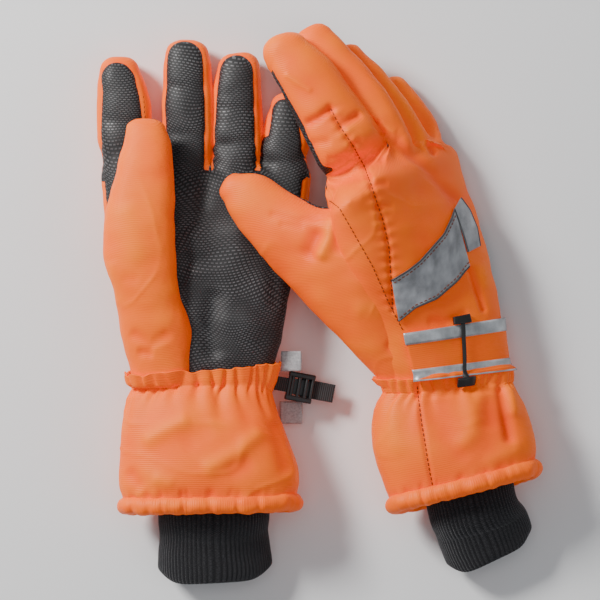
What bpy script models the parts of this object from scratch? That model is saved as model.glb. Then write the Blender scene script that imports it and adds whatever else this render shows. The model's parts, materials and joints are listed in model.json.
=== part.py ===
"""A pair of padded winter work gloves lying one over the other, as separate solids.

The left glove lies on its back with the palm up and the thumb folded over the palm.
The right glove lies palm down on top, rolled onto its little finger, with its thumb
resting on the left palm. Units are metres and +Z is up from the surface they lie on.
Each glove is a hollow hand shell with five hollow finger stalls that fold at their
middle knuckle, a wrist elastic, a gathered cuff with a rolled hem, and a knit cuff.
"""

import math
from collections import namedtuple

import bmesh
import bpy
from mathutils import Matrix, Vector

# Driving dimensions, in metres.
GAP = 0.0003  # between two pieces that touch
SEAM_GAP = 0.0008  # between the back fabric and the grip fabric
LAYER_GAP = 0.0006  # between two fabrics on a curved surface
WALL = 0.0024  # outer fabric of the hand, with its padding
STALL_WALL = 0.0022  # outer fabric of a finger stall
LINING_GAP = 0.0009
LINING_WALL = 0.0020
CUFF_WALL = 0.0022
KNIT_WALL = 0.0028
ELASTIC_WALL = 0.0012
HEM_RADIUS = 0.0054
BAND_LIFT = 0.0009  # under a stripe, a strap or a tape
STRIPE_THICKNESS = 0.0010
STRAP_THICKNESS = 0.0014
TAPE_THICKNESS = 0.0006
STRAP_ROWS = (0.35, 1.95)  # where the strap starts and ends, counted in hand sections
UPPER_TAPE_ROWS = (1.70, 1.95)
LOWER_TAPE_ROWS = (0.35, 0.98)
SQUARENESS = 2.5  # exponent of the rounded sections: 2 is an ellipse
HAND_POINTS = 24
STALL_POINTS = 14
KNIT_POINTS = 18
HEM_POINTS = 6
NOTCH_RUN = 0.010  # how far the fold's notch reaches along a stall
ROOT_SCALE = 0.86  # a stall's size inside the hand, against its size at the knuckle
ROOT_OVERLAP = 0.005  # how far a stall's hollow reaches back into the hand's
WRIST_REACH = 0.010  # how far a hollow's cutter goes past an open end
STALL_REACH = 0.020  # how far a stall's hollow goes past its knuckle
TIP_STEPS = ((0.0105, 0.95), (0.0038, 0.74))  # how far before a fingertip, and its size there
TIP_END = 0.42  # a fingertip's last size
TIP_INSET = 0.4  # the share of the wall that its hollow keeps there
HAND_GRIP_SPAN = 0.80  # share of the half width that grip fabric covers
STALL_GRIP_SPAN = 0.72
GRIP_START = 0.22  # share of the half height at which grip fabric starts
GRIP_BEYOND = 0.006  # how far its cutter stands outside the hand
GRIP_FLARE = 0.002
INNER_GRIP_END = -0.2  # past the knuckle, as a share of the way back to the base
TIP_GRIP_ENDS = (-0.5, 0.86)  # from the knuckle, as shares of the way to the tip
LINED_SECTIONS = slice(1, 6)  # the hand sections that the fleece lining follows
ELASTIC_INSET = 0.0012
ELASTIC_HALF = 0.005
HEM_TUCK = 0.0012
HEM_DROP = 0.93  # how far the bead's middle is below the cuff's edge, in bead radii

# A section across a glove: its centre, its half sizes, its roll and the heading of the
# glove there, both in degrees. A roll above 0 lowers the side to the right of the heading.
Section = namedtuple("Section", "x y z half_width half_height roll heading")

# A finger stall: where it leaves the hand, its middle knuckle and its tip, then its half
# sizes, its own roll, the roll of the way it folds, and how far it folds.
Stall = namedtuple("Stall", "base knuckle tip half_width half_height roll fold_roll fold")

LEFT_HAND = (
    Section(-0.0700, -0.0490, 0.0220, 0.0410, 0.0135, 0, 90),
    Section(-0.0697, -0.0400, 0.0225, 0.0445, 0.0148, 0, 90),
    Section(-0.0700, -0.0140, 0.0230, 0.0490, 0.0154, 0, 90),
    Section(-0.0690, 0.0080, 0.0222, 0.0530, 0.0162, 0, 90),
    Section(-0.0698, 0.0320, 0.0202, 0.0580, 0.0160, 0, 90),
    Section(-0.0684, 0.0560, 0.0182, 0.0600, 0.0146, 0, 90),
    Section(-0.0675, 0.0700, 0.0160, 0.0585, 0.0122, 0, 90),
    Section(-0.0670, 0.0790, 0.0148, 0.0520, 0.0080, 0, 90),
)
LEFT_STALLS = {
    "index": Stall(
        (-0.1085, 0.0600, 0.0150), (-0.1178, 0.1160, 0.0135), (-0.1203, 0.1476, 0.0125),
        0.0150, 0.0120, 0, 0, 55,
    ),
    "middle": Stall(
        (-0.0785, 0.0600, 0.0150), (-0.0789, 0.1180, 0.0140), (-0.0789, 0.1578, 0.0130),
        0.0148, 0.0122, 0, 0, 60,
    ),
    "ring": Stall(
        (-0.0490, 0.0600, 0.0150), (-0.0486, 0.1150, 0.0140), (-0.0483, 0.1500, 0.0130),
        0.0144, 0.0120, 0, 0, 60,
    ),
    "little": Stall(
        (-0.0225, 0.0560, 0.0145), (-0.0196, 0.0990, 0.0130), (-0.0180, 0.1266, 0.0120),
        0.0142, 0.0112, 0, 0, 30,
    ),
}
LEFT_THUMB = Stall(
    (-0.0950, -0.0420, 0.0300), (-0.1065, 0.0340, 0.0465), (-0.1028, 0.1085, 0.0390),
    0.0190, 0.0102, 0, 0, 50,
)
LEFT_CUFF = (
    Section(-0.0700, -0.0493, 0.0220, 0.0410, 0.0135, 0, 90),
    Section(-0.0720, -0.0590, 0.0225, 0.0445, 0.0185, 0, 90),
    Section(-0.0693, -0.0800, 0.0240, 0.0500, 0.0225, 0, 90),
    Section(-0.0666, -0.1000, 0.0250, 0.0540, 0.0240, 0, 90),
    Section(-0.0660, -0.1135, 0.0250, 0.0540, 0.0225, 0, 90),
)
LEFT_KNIT = (
    Section(-0.0640, -0.0900, 0.0260, 0.0330, 0.0110, 0, 90),
    Section(-0.0635, -0.1250, 0.0250, 0.0335, 0.0108, 0, 90),
    Section(-0.0630, -0.1500, 0.0145, 0.0340, 0.0110, 0, 90),
    Section(-0.0627, -0.1680, 0.0110, 0.0325, 0.0100, 0, 90),
)

RIGHT_HAND = (
    Section(0.0760, -0.0440, 0.0270, 0.0395, 0.0165, 14, 96),
    Section(0.0735, -0.0350, 0.0280, 0.0410, 0.0180, 17, 98),
    Section(0.0700, -0.0140, 0.0305, 0.0440, 0.0190, 24, 101),
    Section(0.0640, 0.0100, 0.0335, 0.0470, 0.0195, 32, 106),
    Section(0.0560, 0.0360, 0.0362, 0.0460, 0.0198, 40, 112),
    Section(0.0490, 0.0580, 0.0368, 0.0430, 0.0198, 46, 120),
    Section(0.0470, 0.0720, 0.0360, 0.0400, 0.0186, 50, 123),
    Section(0.0440, 0.0830, 0.0345, 0.0330, 0.0130, 50, 123),
)
RIGHT_STALLS = {
    "index": Stall(
        (0.0399, 0.0600, 0.0520), (0.0011, 0.1190, 0.0550), (-0.0227, 0.1550, 0.0530),
        0.0160, 0.0098, 10, 30, 50,
    ),
    "middle": Stall(
        (0.0540, 0.0810, 0.0410), (0.0206, 0.1318, 0.0420), (-0.0022, 0.1664, 0.0400),
        0.0122, 0.0078, 0, 60, 50,
    ),
    "ring": Stall(
        (0.0640, 0.0790, 0.0250), (0.0352, 0.1228, 0.0250), (0.0154, 0.1528, 0.0240),
        0.0122, 0.0076, 0, 64, 50,
    ),
    "little": Stall(
        (0.0730, 0.0807, 0.0100), (0.0535, 0.1103, 0.0084), (0.0383, 0.1334, 0.0084),
        0.0122, 0.0076, 0, 66, 50,
    ),
}
RIGHT_THUMB = Stall(
    (0.0400, -0.0240, 0.0330), (-0.0120, 0.0340, 0.0460), (-0.0567, 0.0702, 0.0455),
    0.0180, 0.0098, 0, 0, 50,
)
RIGHT_CUFF = (
    Section(0.0760, -0.0443, 0.0270, 0.0395, 0.0165, 14, 96),
    Section(0.0770, -0.0540, 0.0262, 0.0430, 0.0200, 8, 98),
    Section(0.0795, -0.0760, 0.0250, 0.0460, 0.0230, 4, 100),
    Section(0.0830, -0.0970, 0.0250, 0.0470, 0.0240, 2, 101),
    Section(0.0855, -0.1095, 0.0250, 0.0465, 0.0225, 0, 101),
)
RIGHT_KNIT = (
    Section(0.0850, -0.0900, 0.0260, 0.0300, 0.0110, 0, 102),
    Section(0.0930, -0.1230, 0.0250, 0.0310, 0.0108, 0, 104),
    Section(0.0990, -0.1450, 0.0145, 0.0310, 0.0110, 0, 106),
    Section(0.1040, -0.1620, 0.0110, 0.0270, 0.0100, 0, 106),
)

# Bands over the back of each hand: the hand sections that each runs between, then its
# first and last point round them. Points 0 to 12 run over the top from the right side,
# and 12 to 24 back under the bottom.
LEFT_BANDS = {
    "stripes": (("back_stripe", (2.6, 3.9), (14, 19)), ("side_stripe", (3.3, 4.4), (20, 23))),
    "strap": (14, 22),
    "slider": 18,
}
RIGHT_BANDS = {
    "stripes": (("back_stripe", (2.6, 3.9), (5, 10)), ("side_stripe", (3.3, 4.4), (1, 4))),
    "strap": (2, 10),
    "slider": 6,
}

# Where the clip leaves the little finger side of the left wrist, and its slope.
CLIP_ROOT = Vector((-0.0270, -0.0490, 0.0190))
CLIP_TURN = -11
CLIP_DROOP = 14
WEBBING_SIZE = (0.0090, 0.0130, 0.0014)
BUCKLE_SIZE = (0.0165, 0.0175, 0.0040)
TAIL_SIZE = (0.0240, 0.0115, 0.0012)
LABEL_SIZE = (0.0125, 0.0120, 0.0008)
CLIP_PLAY = 0.0016  # between the webbing and the buckle that swings on it
SLIDER_DEPTH = 0.0085
SLIDER_BAR = 0.0022
SLIDER_LIFT = 0.0022
SLIDER_PLAY = 0.0018
SLIDER_PAST = 0.0082  # how much longer the slider is than the strap is wide
SLIDER_GATE = (0.0300, 0.0026)  # the passage for the strap: its length, and what it adds to the strap
SLIDER_SLOT = (0.0024, 0.0040, 0.0400)  # the slot's width, what its length lacks, and its cutter's depth
BUCKLE_GATES = (-0.0042, 0.0012, 0.0052)  # the buckle's slots, from its middle
BUCKLE_GATE_SIZE = (0.0024, 0.0120, 0.0200)
TAIL_START = 0.0060
LABELS = (
    ("upper", Vector((-0.0225, -0.0355, 0.0230)), -6),
    ("lower", Vector((-0.0225, -0.0660, 0.0080)), -14),
)  # each label's root, and its turn seen from above
LABEL_DROOP = 8

ORANGE = (0.90, 0.155, 0.02, 1)
BLACK_GRIP = (0.02, 0.02, 0.022, 1)
FLEECE = (0.05, 0.05, 0.055, 1)
SILVER = (0.42, 0.43, 0.45, 1)
TAPE_SILVER = (0.52, 0.53, 0.55, 1)
KNIT_BLACK = (0.012, 0.012, 0.013, 1)
PLASTIC_BLACK = (0.015, 0.015, 0.016, 1)
LABEL_WHITE = (0.60, 0.60, 0.60, 1)

UP = Vector((0, 0, 1))


def clear_scene():
    for obj in list(bpy.data.objects):
        bpy.data.objects.remove(obj, do_unlink=True)


def new_collection(name):
    collection = bpy.data.collections.new(name)
    bpy.context.scene.collection.children.link(collection)
    return collection


def material(name, colour, roughness, metallic=0.0):
    made = bpy.data.materials.new(name)
    made.use_nodes = True
    shader = made.node_tree.nodes["Principled BSDF"]
    shader.inputs["Base Color"].default_value = colour
    shader.inputs["Roughness"].default_value = roughness
    shader.inputs["Metallic"].default_value = metallic
    return made


def heading_of(section):
    angle = math.radians(section.heading)
    return Vector((math.cos(angle), math.sin(angle), 0))


def ring(section, count, inset=0.0, squareness=SQUARENESS):
    """Points round one section, seen along its heading, from its right side over its top."""
    heading = heading_of(section)
    side = heading.cross(UP)
    roll = math.radians(section.roll)
    across = side * math.cos(roll) - UP * math.sin(roll)
    above = side * math.sin(roll) + UP * math.cos(roll)
    centre = Vector((section.x, section.y, section.z))
    points = []
    for k in range(count):
        angle = 2 * math.pi * k / count
        c, s = math.cos(angle), math.sin(angle)
        u = math.copysign(abs(c) ** (2 / squareness), c) * (section.half_width - inset)
        w = math.copysign(abs(s) ** (2 / squareness), s) * (section.half_height - inset)
        points.append(centre + across * u + above * w)
    return points


def mesh_object(name, collection, bm, look=None):
    bmesh.ops.recalc_face_normals(bm, faces=bm.faces)
    mesh = bpy.data.meshes.new(name)
    bm.to_mesh(mesh)
    bm.free()
    obj = bpy.data.objects.new(name, mesh)
    collection.objects.link(obj)
    if look is not None:
        mesh.materials.append(look)
        mesh.shade_smooth()
        mesh.set_sharp_from_angle(angle=math.radians(40))
    else:
        obj.hide_render = True
        obj.display_type = "WIRE"
    return obj


def loft(name, collection, rings, look=None):
    """A closed solid through the rings, each end closed by a fan round its middle."""
    bm = bmesh.new()
    rows = [[bm.verts.new(p) for p in points] for points in rings]
    count = len(rows[0])
    for near, far in zip(rows, rows[1:]):
        for k in range(count):
            n = (k + 1) % count
            bm.faces.new((near[k], near[n], far[n]))
            bm.faces.new((near[k], far[n], far[k]))
    for row in (rows[0], rows[-1]):
        middle = bm.verts.new(sum((v.co for v in row), Vector()) / count)
        for k in range(count):
            bm.faces.new((row[k], row[(k + 1) % count], middle))
    return mesh_object(name, collection, bm, look)


def band(name, collection, inner, outer, look=None):
    """A closed curved slab: the grid of points inner on one face and outer on the other."""
    bm = bmesh.new()
    low = [[bm.verts.new(p) for p in row] for row in inner]
    high = [[bm.verts.new(p) for p in row] for row in outer]
    rows, count = len(low), len(low[0])
    for i in range(rows - 1):
        for k in range(count - 1):
            for grid in (low, high):
                bm.faces.new((grid[i][k], grid[i][k + 1], grid[i + 1][k + 1], grid[i + 1][k]))
        for k in (0, count - 1):
            bm.faces.new((low[i][k], low[i + 1][k], high[i + 1][k], high[i][k]))
    for i in (0, rows - 1):
        for k in range(count - 1):
            bm.faces.new((low[i][k], low[i][k + 1], high[i][k + 1], high[i][k]))
    return mesh_object(name, collection, bm, look)


def combine(obj, operation, other, solver="EXACT"):
    modifier = obj.modifiers.new(other.name, "BOOLEAN")
    modifier.operation = operation
    modifier.solver = solver
    modifier.object = other


def block(name, collection, size, centre, turn, look=None):
    """A box of this size about a centre, turned by a matrix about the origin of turn."""
    bm = bmesh.new()
    bmesh.ops.create_cube(bm, size=1)
    bmesh.ops.scale(bm, vec=Vector(size), verts=bm.verts)
    bmesh.ops.translate(bm, vec=Vector(centre), verts=bm.verts)
    bmesh.ops.transform(bm, matrix=turn, verts=bm.verts)
    return mesh_object(name, collection, bm, look)


def fold_way(stall):
    """The heading of a stall's outer half, the way it folds, and the axis it folds about."""
    heading = Vector(stall.tip) - Vector(stall.knuckle)
    heading.z = 0
    heading.normalize()
    roll = math.radians(stall.fold_roll)
    way = heading.cross(UP) * math.sin(roll) + UP * math.cos(roll)
    return heading, way, heading.cross(way)


def stall_section(stall, place, scale=1.0):
    """The stall's section at a point on its centre line."""
    heading = fold_way(stall)[0]
    return Section(
        place.x, place.y, place.z, stall.half_width * scale, stall.half_height * scale,
        stall.roll, math.degrees(math.atan2(heading.y, heading.x)),
    )


def palm_section(stall, place):
    """The stall's section turned so that its lower side faces away from the way it folds."""
    turn = math.radians(stall.fold_roll - stall.roll)
    wide = math.hypot(stall.half_width * math.cos(turn), stall.half_height * math.sin(turn))
    deep = math.hypot(stall.half_width * math.sin(turn), stall.half_height * math.cos(turn))
    flat = stall_section(stall, place)
    return flat._replace(half_width=wide, half_height=deep, roll=stall.fold_roll)


def notched(stall, points, side):
    """A stall's end ring at its knuckle, cut back on the side that it folds to."""
    heading, way, _ = fold_way(stall)
    slope = math.tan(math.radians(stall.fold / 2))
    knuckle = Vector(stall.knuckle)
    moved = []
    for point in points:
        above = max(0.0, (point - knuckle).dot(way))
        moved.append(point + heading * side * (GAP + above * slope))
    return moved


def stall_inner_rings(stall, inset=0.0, past=0.0):
    """The fixed half of a stall, from inside the hand to its knuckle."""
    base, knuckle = Vector(stall.base), Vector(stall.knuckle)
    heading = fold_way(stall)[0]
    run = (knuckle - base).length
    mid = base.lerp(knuckle, 1 - NOTCH_RUN / run)
    start = base - (knuckle - base).normalized() * (ROOT_OVERLAP if past else 0)
    rings = [
        ring(stall_section(stall, start, ROOT_SCALE), STALL_POINTS, inset),
        ring(stall_section(stall, mid), STALL_POINTS, inset),
    ]
    if past:
        rings.append(ring(stall_section(stall, knuckle + heading * past), STALL_POINTS, inset))
    else:
        rings.append(notched(stall, ring(stall_section(stall, knuckle), STALL_POINTS, inset), -1))
    return rings


def stall_outer_rings(stall, inset=0.0, past=0.0):
    """The moving half of a stall, from its knuckle to its rounded tip."""
    knuckle, tip = Vector(stall.knuckle), Vector(stall.tip)
    heading = fold_way(stall)[0]
    along = (tip - knuckle).normalized()
    end = tip - along * inset
    if past:
        rings = [ring(stall_section(stall, knuckle - heading * past), STALL_POINTS, inset)]
    else:
        rings = [notched(stall, ring(stall_section(stall, knuckle), STALL_POINTS, inset), 1)]
    run = (tip - knuckle).length
    steps = [(NOTCH_RUN / run, 1.0)] + [(1 - before / run, size) for before, size in TIP_STEPS]
    for share, scale in steps:
        rings.append(ring(stall_section(stall, knuckle.lerp(end, share), scale), STALL_POINTS, inset))
    rings.append(ring(stall_section(stall, end, TIP_END), STALL_POINTS, inset * TIP_INSET))
    return rings


def grip_region(name, collection, sections, palm_up, gap, span):
    """The half of the space round the sections that the grip fabric covers."""
    facing = 1 if palm_up else -1
    last = len(sections) - 1
    rings = []
    for k, section in enumerate(sections):
        heading = heading_of(section)
        shift = heading * gap * ((k == 0) - (k == last))
        side = heading.cross(UP)
        roll = math.radians(section.roll)
        across = side * math.cos(roll) - UP * math.sin(roll)
        above = (side * math.sin(roll) + UP * math.cos(roll)) * facing
        centre = Vector((section.x, section.y, section.z)) + shift
        near = section.half_height * GRIP_START + gap
        far = section.half_height + GRIP_BEYOND - gap
        half = section.half_width * span - gap
        rings.append([
            centre - across * half + above * near,
            centre + across * half + above * near,
            centre + across * (half + GRIP_FLARE) + above * far,
            centre - across * (half + GRIP_FLARE) + above * far,
        ])
    return loft(name, collection, rings)


def between(sections, count, start, end, inset):
    """Rings from start to end, counted in sections, straight between neighbouring ones."""
    places = [start] + [k for k in range(len(sections)) if start < k < end] + [end]
    rings = []
    for place in places:
        k = min(int(place), len(sections) - 2)
        near = ring(sections[k], count, inset)
        far = ring(sections[k + 1], count, inset)
        rings.append([a.lerp(b, place - k) for a, b in zip(near, far)])
    return rings


def wrap(name, collection, sections, rows, arc, lift, thickness, look):
    """A slab that follows the outside of the sections between two of their points."""
    first, last = arc
    grids = []
    for inset in (-lift, -lift - thickness):
        rings = between(sections, HAND_POINTS, rows[0], rows[1], inset)
        grids.append([[points[k % HAND_POINTS] for k in range(first, last + 1)] for points in rings])
    return band(name, collection, grids[0], grids[1], look)


def joint_empty(name, collection, place, parent=None):
    empty = bpy.data.objects.new(name, None)
    empty.empty_display_size = 0.01
    collection.objects.link(empty)
    empty.location = Vector(place) - (parent.location if parent else Vector())
    empty.parent = parent
    return empty


def attach(obj, empty):
    """Parent a node to a joint's empty, with its mesh moved so that it stays in place."""
    origin = Vector()
    walk = empty
    while walk:
        origin += walk.location
        walk = walk.parent
    obj.data.transform(Matrix.Translation(-origin))
    obj.parent = empty


def build_hand(side, sections, stalls, palm_up, parts, cutters, looks):
    """The outer shell with the fixed halves of its stalls, in back fabric and grip fabric."""
    cavity_sections = (sections[0]._replace(
        x=sections[0].x - heading_of(sections[0]).x * WRIST_REACH,
        y=sections[0].y - heading_of(sections[0]).y * WRIST_REACH,
    ),) + sections[:-1]
    cavity = loft(
        f"{side}_hand_cavity", cutters, [ring(s, HAND_POINTS, WALL) for s in cavity_sections]
    )
    cavities = [cavity]
    solids = []
    regions = {}
    for gap in (0.0, SEAM_GAP):
        regions[gap] = grip_region(
            f"{side}_palm_region_{gap:.4f}", cutters, sections[1:], palm_up, gap, HAND_GRIP_SPAN
        )
    for finger, stall in stalls.items():
        solids.append(loft(f"{side}_{finger}_inner_solid", cutters, stall_inner_rings(stall)))
        hollow_rings = stall_inner_rings(stall, STALL_WALL, STALL_REACH)
        cavities.append(loft(f"{side}_{finger}_inner_cavity", cutters, hollow_rings))
        if finger == "thumb":
            continue
        base, knuckle = Vector(stall.base), Vector(stall.knuckle)
        ends = (base, knuckle.lerp(base, INNER_GRIP_END))
        for gap, region in regions.items():
            strip = grip_region(
                f"{side}_{finger}_inner_region_{gap:.4f}", cutters,
                [palm_section(stall, place) for place in ends], palm_up, gap, STALL_GRIP_SPAN,
            )
            combine(region, "UNION", strip, "MANIFOLD")
    shells = []
    for name, look in ((f"{side}_hand_back", "orange"), (f"{side}_palm_grip", "grip")):
        shell = loft(name, parts, [ring(s, HAND_POINTS) for s in sections], looks[look])
        for solid in solids:
            combine(shell, "UNION", solid, "MANIFOLD")
        for hollow in cavities:
            combine(shell, "DIFFERENCE", hollow, "MANIFOLD")
        shells.append(shell)
    combine(shells[0], "DIFFERENCE", regions[0.0], "MANIFOLD")
    combine(shells[1], "INTERSECT", regions[SEAM_GAP], "MANIFOLD")
    return shells


def build_stall(side, finger, stall, palm_up, hand_empty, parts, cutters, looks):
    """The moving half of one finger stall: its shell and the grip fabric on its palm side."""
    empty = joint_empty(f"{side}_{finger}_joint", parts, stall.knuckle, hand_empty)
    cavity = loft(
        f"{side}_{finger}_tip_cavity", cutters, stall_outer_rings(stall, STALL_WALL, STALL_REACH)
    )
    knuckle, tip = Vector(stall.knuckle), Vector(stall.tip)
    ends = [knuckle.lerp(tip, share) for share in TIP_GRIP_ENDS]
    nodes = []
    for gap, (kind, look), operation in (
        (0.0, ("shell", "orange"), "DIFFERENCE"), (SEAM_GAP, ("grip", "grip"), "INTERSECT"),
    ):
        region = grip_region(
            f"{side}_{finger}_tip_region_{gap:.4f}", cutters,
            [palm_section(stall, place) for place in ends], palm_up, gap, STALL_GRIP_SPAN,
        )
        node = loft(f"{side}_{finger}_{kind}", parts, stall_outer_rings(stall), looks[look])
        combine(node, "DIFFERENCE", cavity)
        combine(node, operation, region)
        nodes.append(node)
    for obj in nodes:
        attach(obj, empty)


def tube(name, collection, cutters, sections, wall, count, look):
    """A tube through the sections, open at both ends."""
    made = loft(name, collection, [ring(s, count) for s in sections], look)
    first, last = sections[0], sections[-1]
    before = heading_of(first) * heading_sign(sections) * WRIST_REACH
    after = heading_of(last) * heading_sign(sections) * WRIST_REACH
    ends = (
        first._replace(x=first.x - before.x, y=first.y - before.y),
        last._replace(x=last.x + after.x, y=last.y + after.y),
    )
    inside = [ends[0]] + list(sections) + [ends[1]]
    bore = loft(f"{name}_bore", cutters, [ring(s, count, wall) for s in inside])
    combine(made, "DIFFERENCE", bore)
    return made


def heading_sign(sections):
    """1 where the sections run along their heading, -1 where they run against it."""
    run = Vector((sections[-1].x - sections[0].x, sections[-1].y - sections[0].y, 0))
    return 1 if run.dot(heading_of(sections[0])) > 0 else -1


def build_hem(side, cuff, parts, looks):
    """The rolled hem: a round bead that follows the lower edge of the cuff."""
    edge = cuff[-1]
    down = -heading_of(edge)
    path = ring(edge, HAND_POINTS, HEM_RADIUS - HEM_TUCK)
    centre = Vector((edge.x, edge.y, edge.z))
    bm = bmesh.new()
    rows = []
    for point in path:
        out = (point - centre).normalized()
        row = []
        for k in range(HEM_POINTS):
            angle = 2 * math.pi * (k + 0.5) / HEM_POINTS
            offset = out * math.cos(angle) + down * math.sin(angle)
            row.append(bm.verts.new(
                point + down * (HEM_RADIUS * HEM_DROP + GAP) + offset * HEM_RADIUS
            ))
        rows.append(row)
    for i, row in enumerate(rows):
        after = rows[(i + 1) % len(rows)]
        for k in range(HEM_POINTS):
            n = (k + 1) % HEM_POINTS
            bm.faces.new((row[k], row[n], after[n], after[k]))
    return mesh_object(f"{side}_cuff_hem", parts, bm, looks["orange"])


def build_strap(side, sections, arc, slider_at, hand_empty, parts, cutters, looks):
    """The wrist strap with its two reflective tapes and the slider that moves along it."""
    strap = wrap(
        f"{side}_wrist_strap", parts, sections, STRAP_ROWS, arc, BAND_LIFT, STRAP_THICKNESS,
        looks["orange"],
    )
    lift = BAND_LIFT + STRAP_THICKNESS + LAYER_GAP
    tapes = [
        wrap(f"{side}_strap_tape_{name}", parts, sections, rows, arc, lift, TAPE_THICKNESS,
             looks["tape"])
        for name, rows in (("upper", UPPER_TAPE_ROWS), ("lower", LOWER_TAPE_ROWS))
    ]
    inner = between(sections, HAND_POINTS, STRAP_ROWS[0], STRAP_ROWS[1], 0)
    low, high = inner[0][slider_at], inner[-1][slider_at]
    neighbour = inner[0][(slider_at + 1) % HAND_POINTS]
    along = (high - low).normalized()
    slide = neighbour - low
    slide = (slide - along * slide.dot(along)).normalized()
    out = slide.cross(along)
    middle = (low + high) / 2
    if out.dot(middle - Vector((sections[1].x, sections[1].y, sections[1].z))) < 0:
        out = -out
    turn = Matrix.Translation(middle) @ Matrix((
        (slide.x, along.x, out.x, 0), (slide.y, along.y, out.y, 0),
        (slide.z, along.z, out.z, 0), (0, 0, 0, 1),
    ))
    length = (high - low).length
    clear = BAND_LIFT + STRAP_THICKNESS + LAYER_GAP + TAPE_THICKNESS + SLIDER_PLAY
    body = (SLIDER_DEPTH, length + SLIDER_PAST, clear + SLIDER_BAR - SLIDER_LIFT)
    slider = block(
        f"{side}_strap_slider", parts, body, (0, 0, body[2] / 2 + SLIDER_LIFT), turn, looks["plastic"]
    )
    gate_length, gate_past = SLIDER_GATE
    gate = block(
        f"{side}_slider_gate", cutters, (gate_length, length + gate_past, 2 * clear), (0, 0, 0), turn
    )
    slot_width, slot_short, slot_depth = SLIDER_SLOT
    slot = block(
        f"{side}_slider_slot", cutters, (slot_width, length - slot_short, slot_depth), (0, 0, 0), turn
    )
    combine(slider, "DIFFERENCE", gate)
    combine(slider, "DIFFERENCE", slot)
    empty = joint_empty(f"{side}_slider_joint", parts, middle, hand_empty)
    attach(slider, empty)
    return strap, tapes, slider, slide


def build_glove(side, hand, stalls, thumb, cuff, knit, palm_up, bands, hand_empty, parts, cutters, looks):
    """Everything that both gloves have."""
    whole = dict(stalls, thumb=thumb)
    build_hand(side, hand, whole, palm_up, parts, cutters, looks)
    lined = [
        s._replace(
            half_width=s.half_width - WALL - LINING_GAP,
            half_height=s.half_height - WALL - LINING_GAP,
        )
        for s in hand[LINED_SECTIONS]
    ]
    tube(f"{side}_hand_lining", parts, cutters, lined, LINING_WALL, HAND_POINTS, looks["fleece"])
    wrist = hand[0]
    step = heading_of(wrist) * ELASTIC_HALF
    ring_sections = [
        wrist._replace(
            x=wrist.x + step.x * k, y=wrist.y + step.y * k,
            half_width=wrist.half_width - WALL - ELASTIC_INSET,
            half_height=wrist.half_height - WALL - ELASTIC_INSET,
        )
        for k in (-1, 1)
    ]
    tube(f"{side}_wrist_elastic", parts, cutters, ring_sections, ELASTIC_WALL, HAND_POINTS, looks["elastic"])
    tube(f"{side}_cuff_shell", parts, cutters, cuff, CUFF_WALL, HAND_POINTS, looks["orange"])
    build_hem(side, cuff, parts, looks)
    tube(f"{side}_knit_cuff", parts, cutters, knit, KNIT_WALL, KNIT_POINTS, looks["knit"])
    for finger, stall in whole.items():
        grip_up = not palm_up if (finger == "thumb" and side == "left") else palm_up
        build_stall(side, finger, stall, grip_up, hand_empty, parts, cutters, looks)
    for name, rows, arc in bands["stripes"]:
        wrap(f"{side}_{name}", parts, hand, rows, arc, BAND_LIFT, STRIPE_THICKNESS, looks["silver"])
    build_strap(side, hand, bands["strap"], bands["slider"], hand_empty, parts, cutters, looks)


def build_clip(hand_empty, parts, cutters, looks):
    """The webbing at the left wrist with its ladder buckle and tail, and the two labels."""
    turn = (
        Matrix.Translation(CLIP_ROOT)
        @ Matrix.Rotation(math.radians(CLIP_TURN), 4, "Z")
        @ Matrix.Rotation(math.radians(CLIP_DROOP), 4, "Y")
    )
    length, _, thick = WEBBING_SIZE
    block("left_clip_webbing", parts, WEBBING_SIZE, (length / 2, 0, 0), turn, looks["knit"])
    pivot = turn @ Vector((length + CLIP_PLAY / 2, 0, 0))
    empty = joint_empty("left_clip_joint", parts, pivot, hand_empty)
    start = length + CLIP_PLAY
    buckle = block(
        "left_clip_buckle", parts, BUCKLE_SIZE, (start + BUCKLE_SIZE[0] / 2, 0, 0), turn,
        looks["plastic"],
    )
    for k, offset in enumerate(BUCKLE_GATES):
        gate = block(
            f"clip_gate_{k}", cutters, BUCKLE_GATE_SIZE,
            (start + BUCKLE_SIZE[0] / 2 + offset, 0, 0), turn,
        )
        combine(buckle, "DIFFERENCE", gate)
    attach(buckle, empty)
    tail = block(
        "left_clip_tail", parts, TAIL_SIZE,
        (start + TAIL_START + TAIL_SIZE[0] / 2, 0, -BUCKLE_SIZE[2] / 2 - GAP - TAIL_SIZE[2] / 2), turn,
        looks["knit"],
    )
    attach(tail, empty)
    for name, root, spin in LABELS:
        place = (
            Matrix.Translation(root)
            @ Matrix.Rotation(math.radians(spin), 4, "Z")
            @ Matrix.Rotation(math.radians(LABEL_DROOP), 4, "Y")
        )
        flap = joint_empty(f"left_label_{name}_joint", parts, root, hand_empty)
        label = block(
            f"left_label_{name}", parts, LABEL_SIZE, (LABEL_SIZE[0] / 2, 0, 0), place, looks["label"]
        )
        attach(label, flap)


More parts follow.
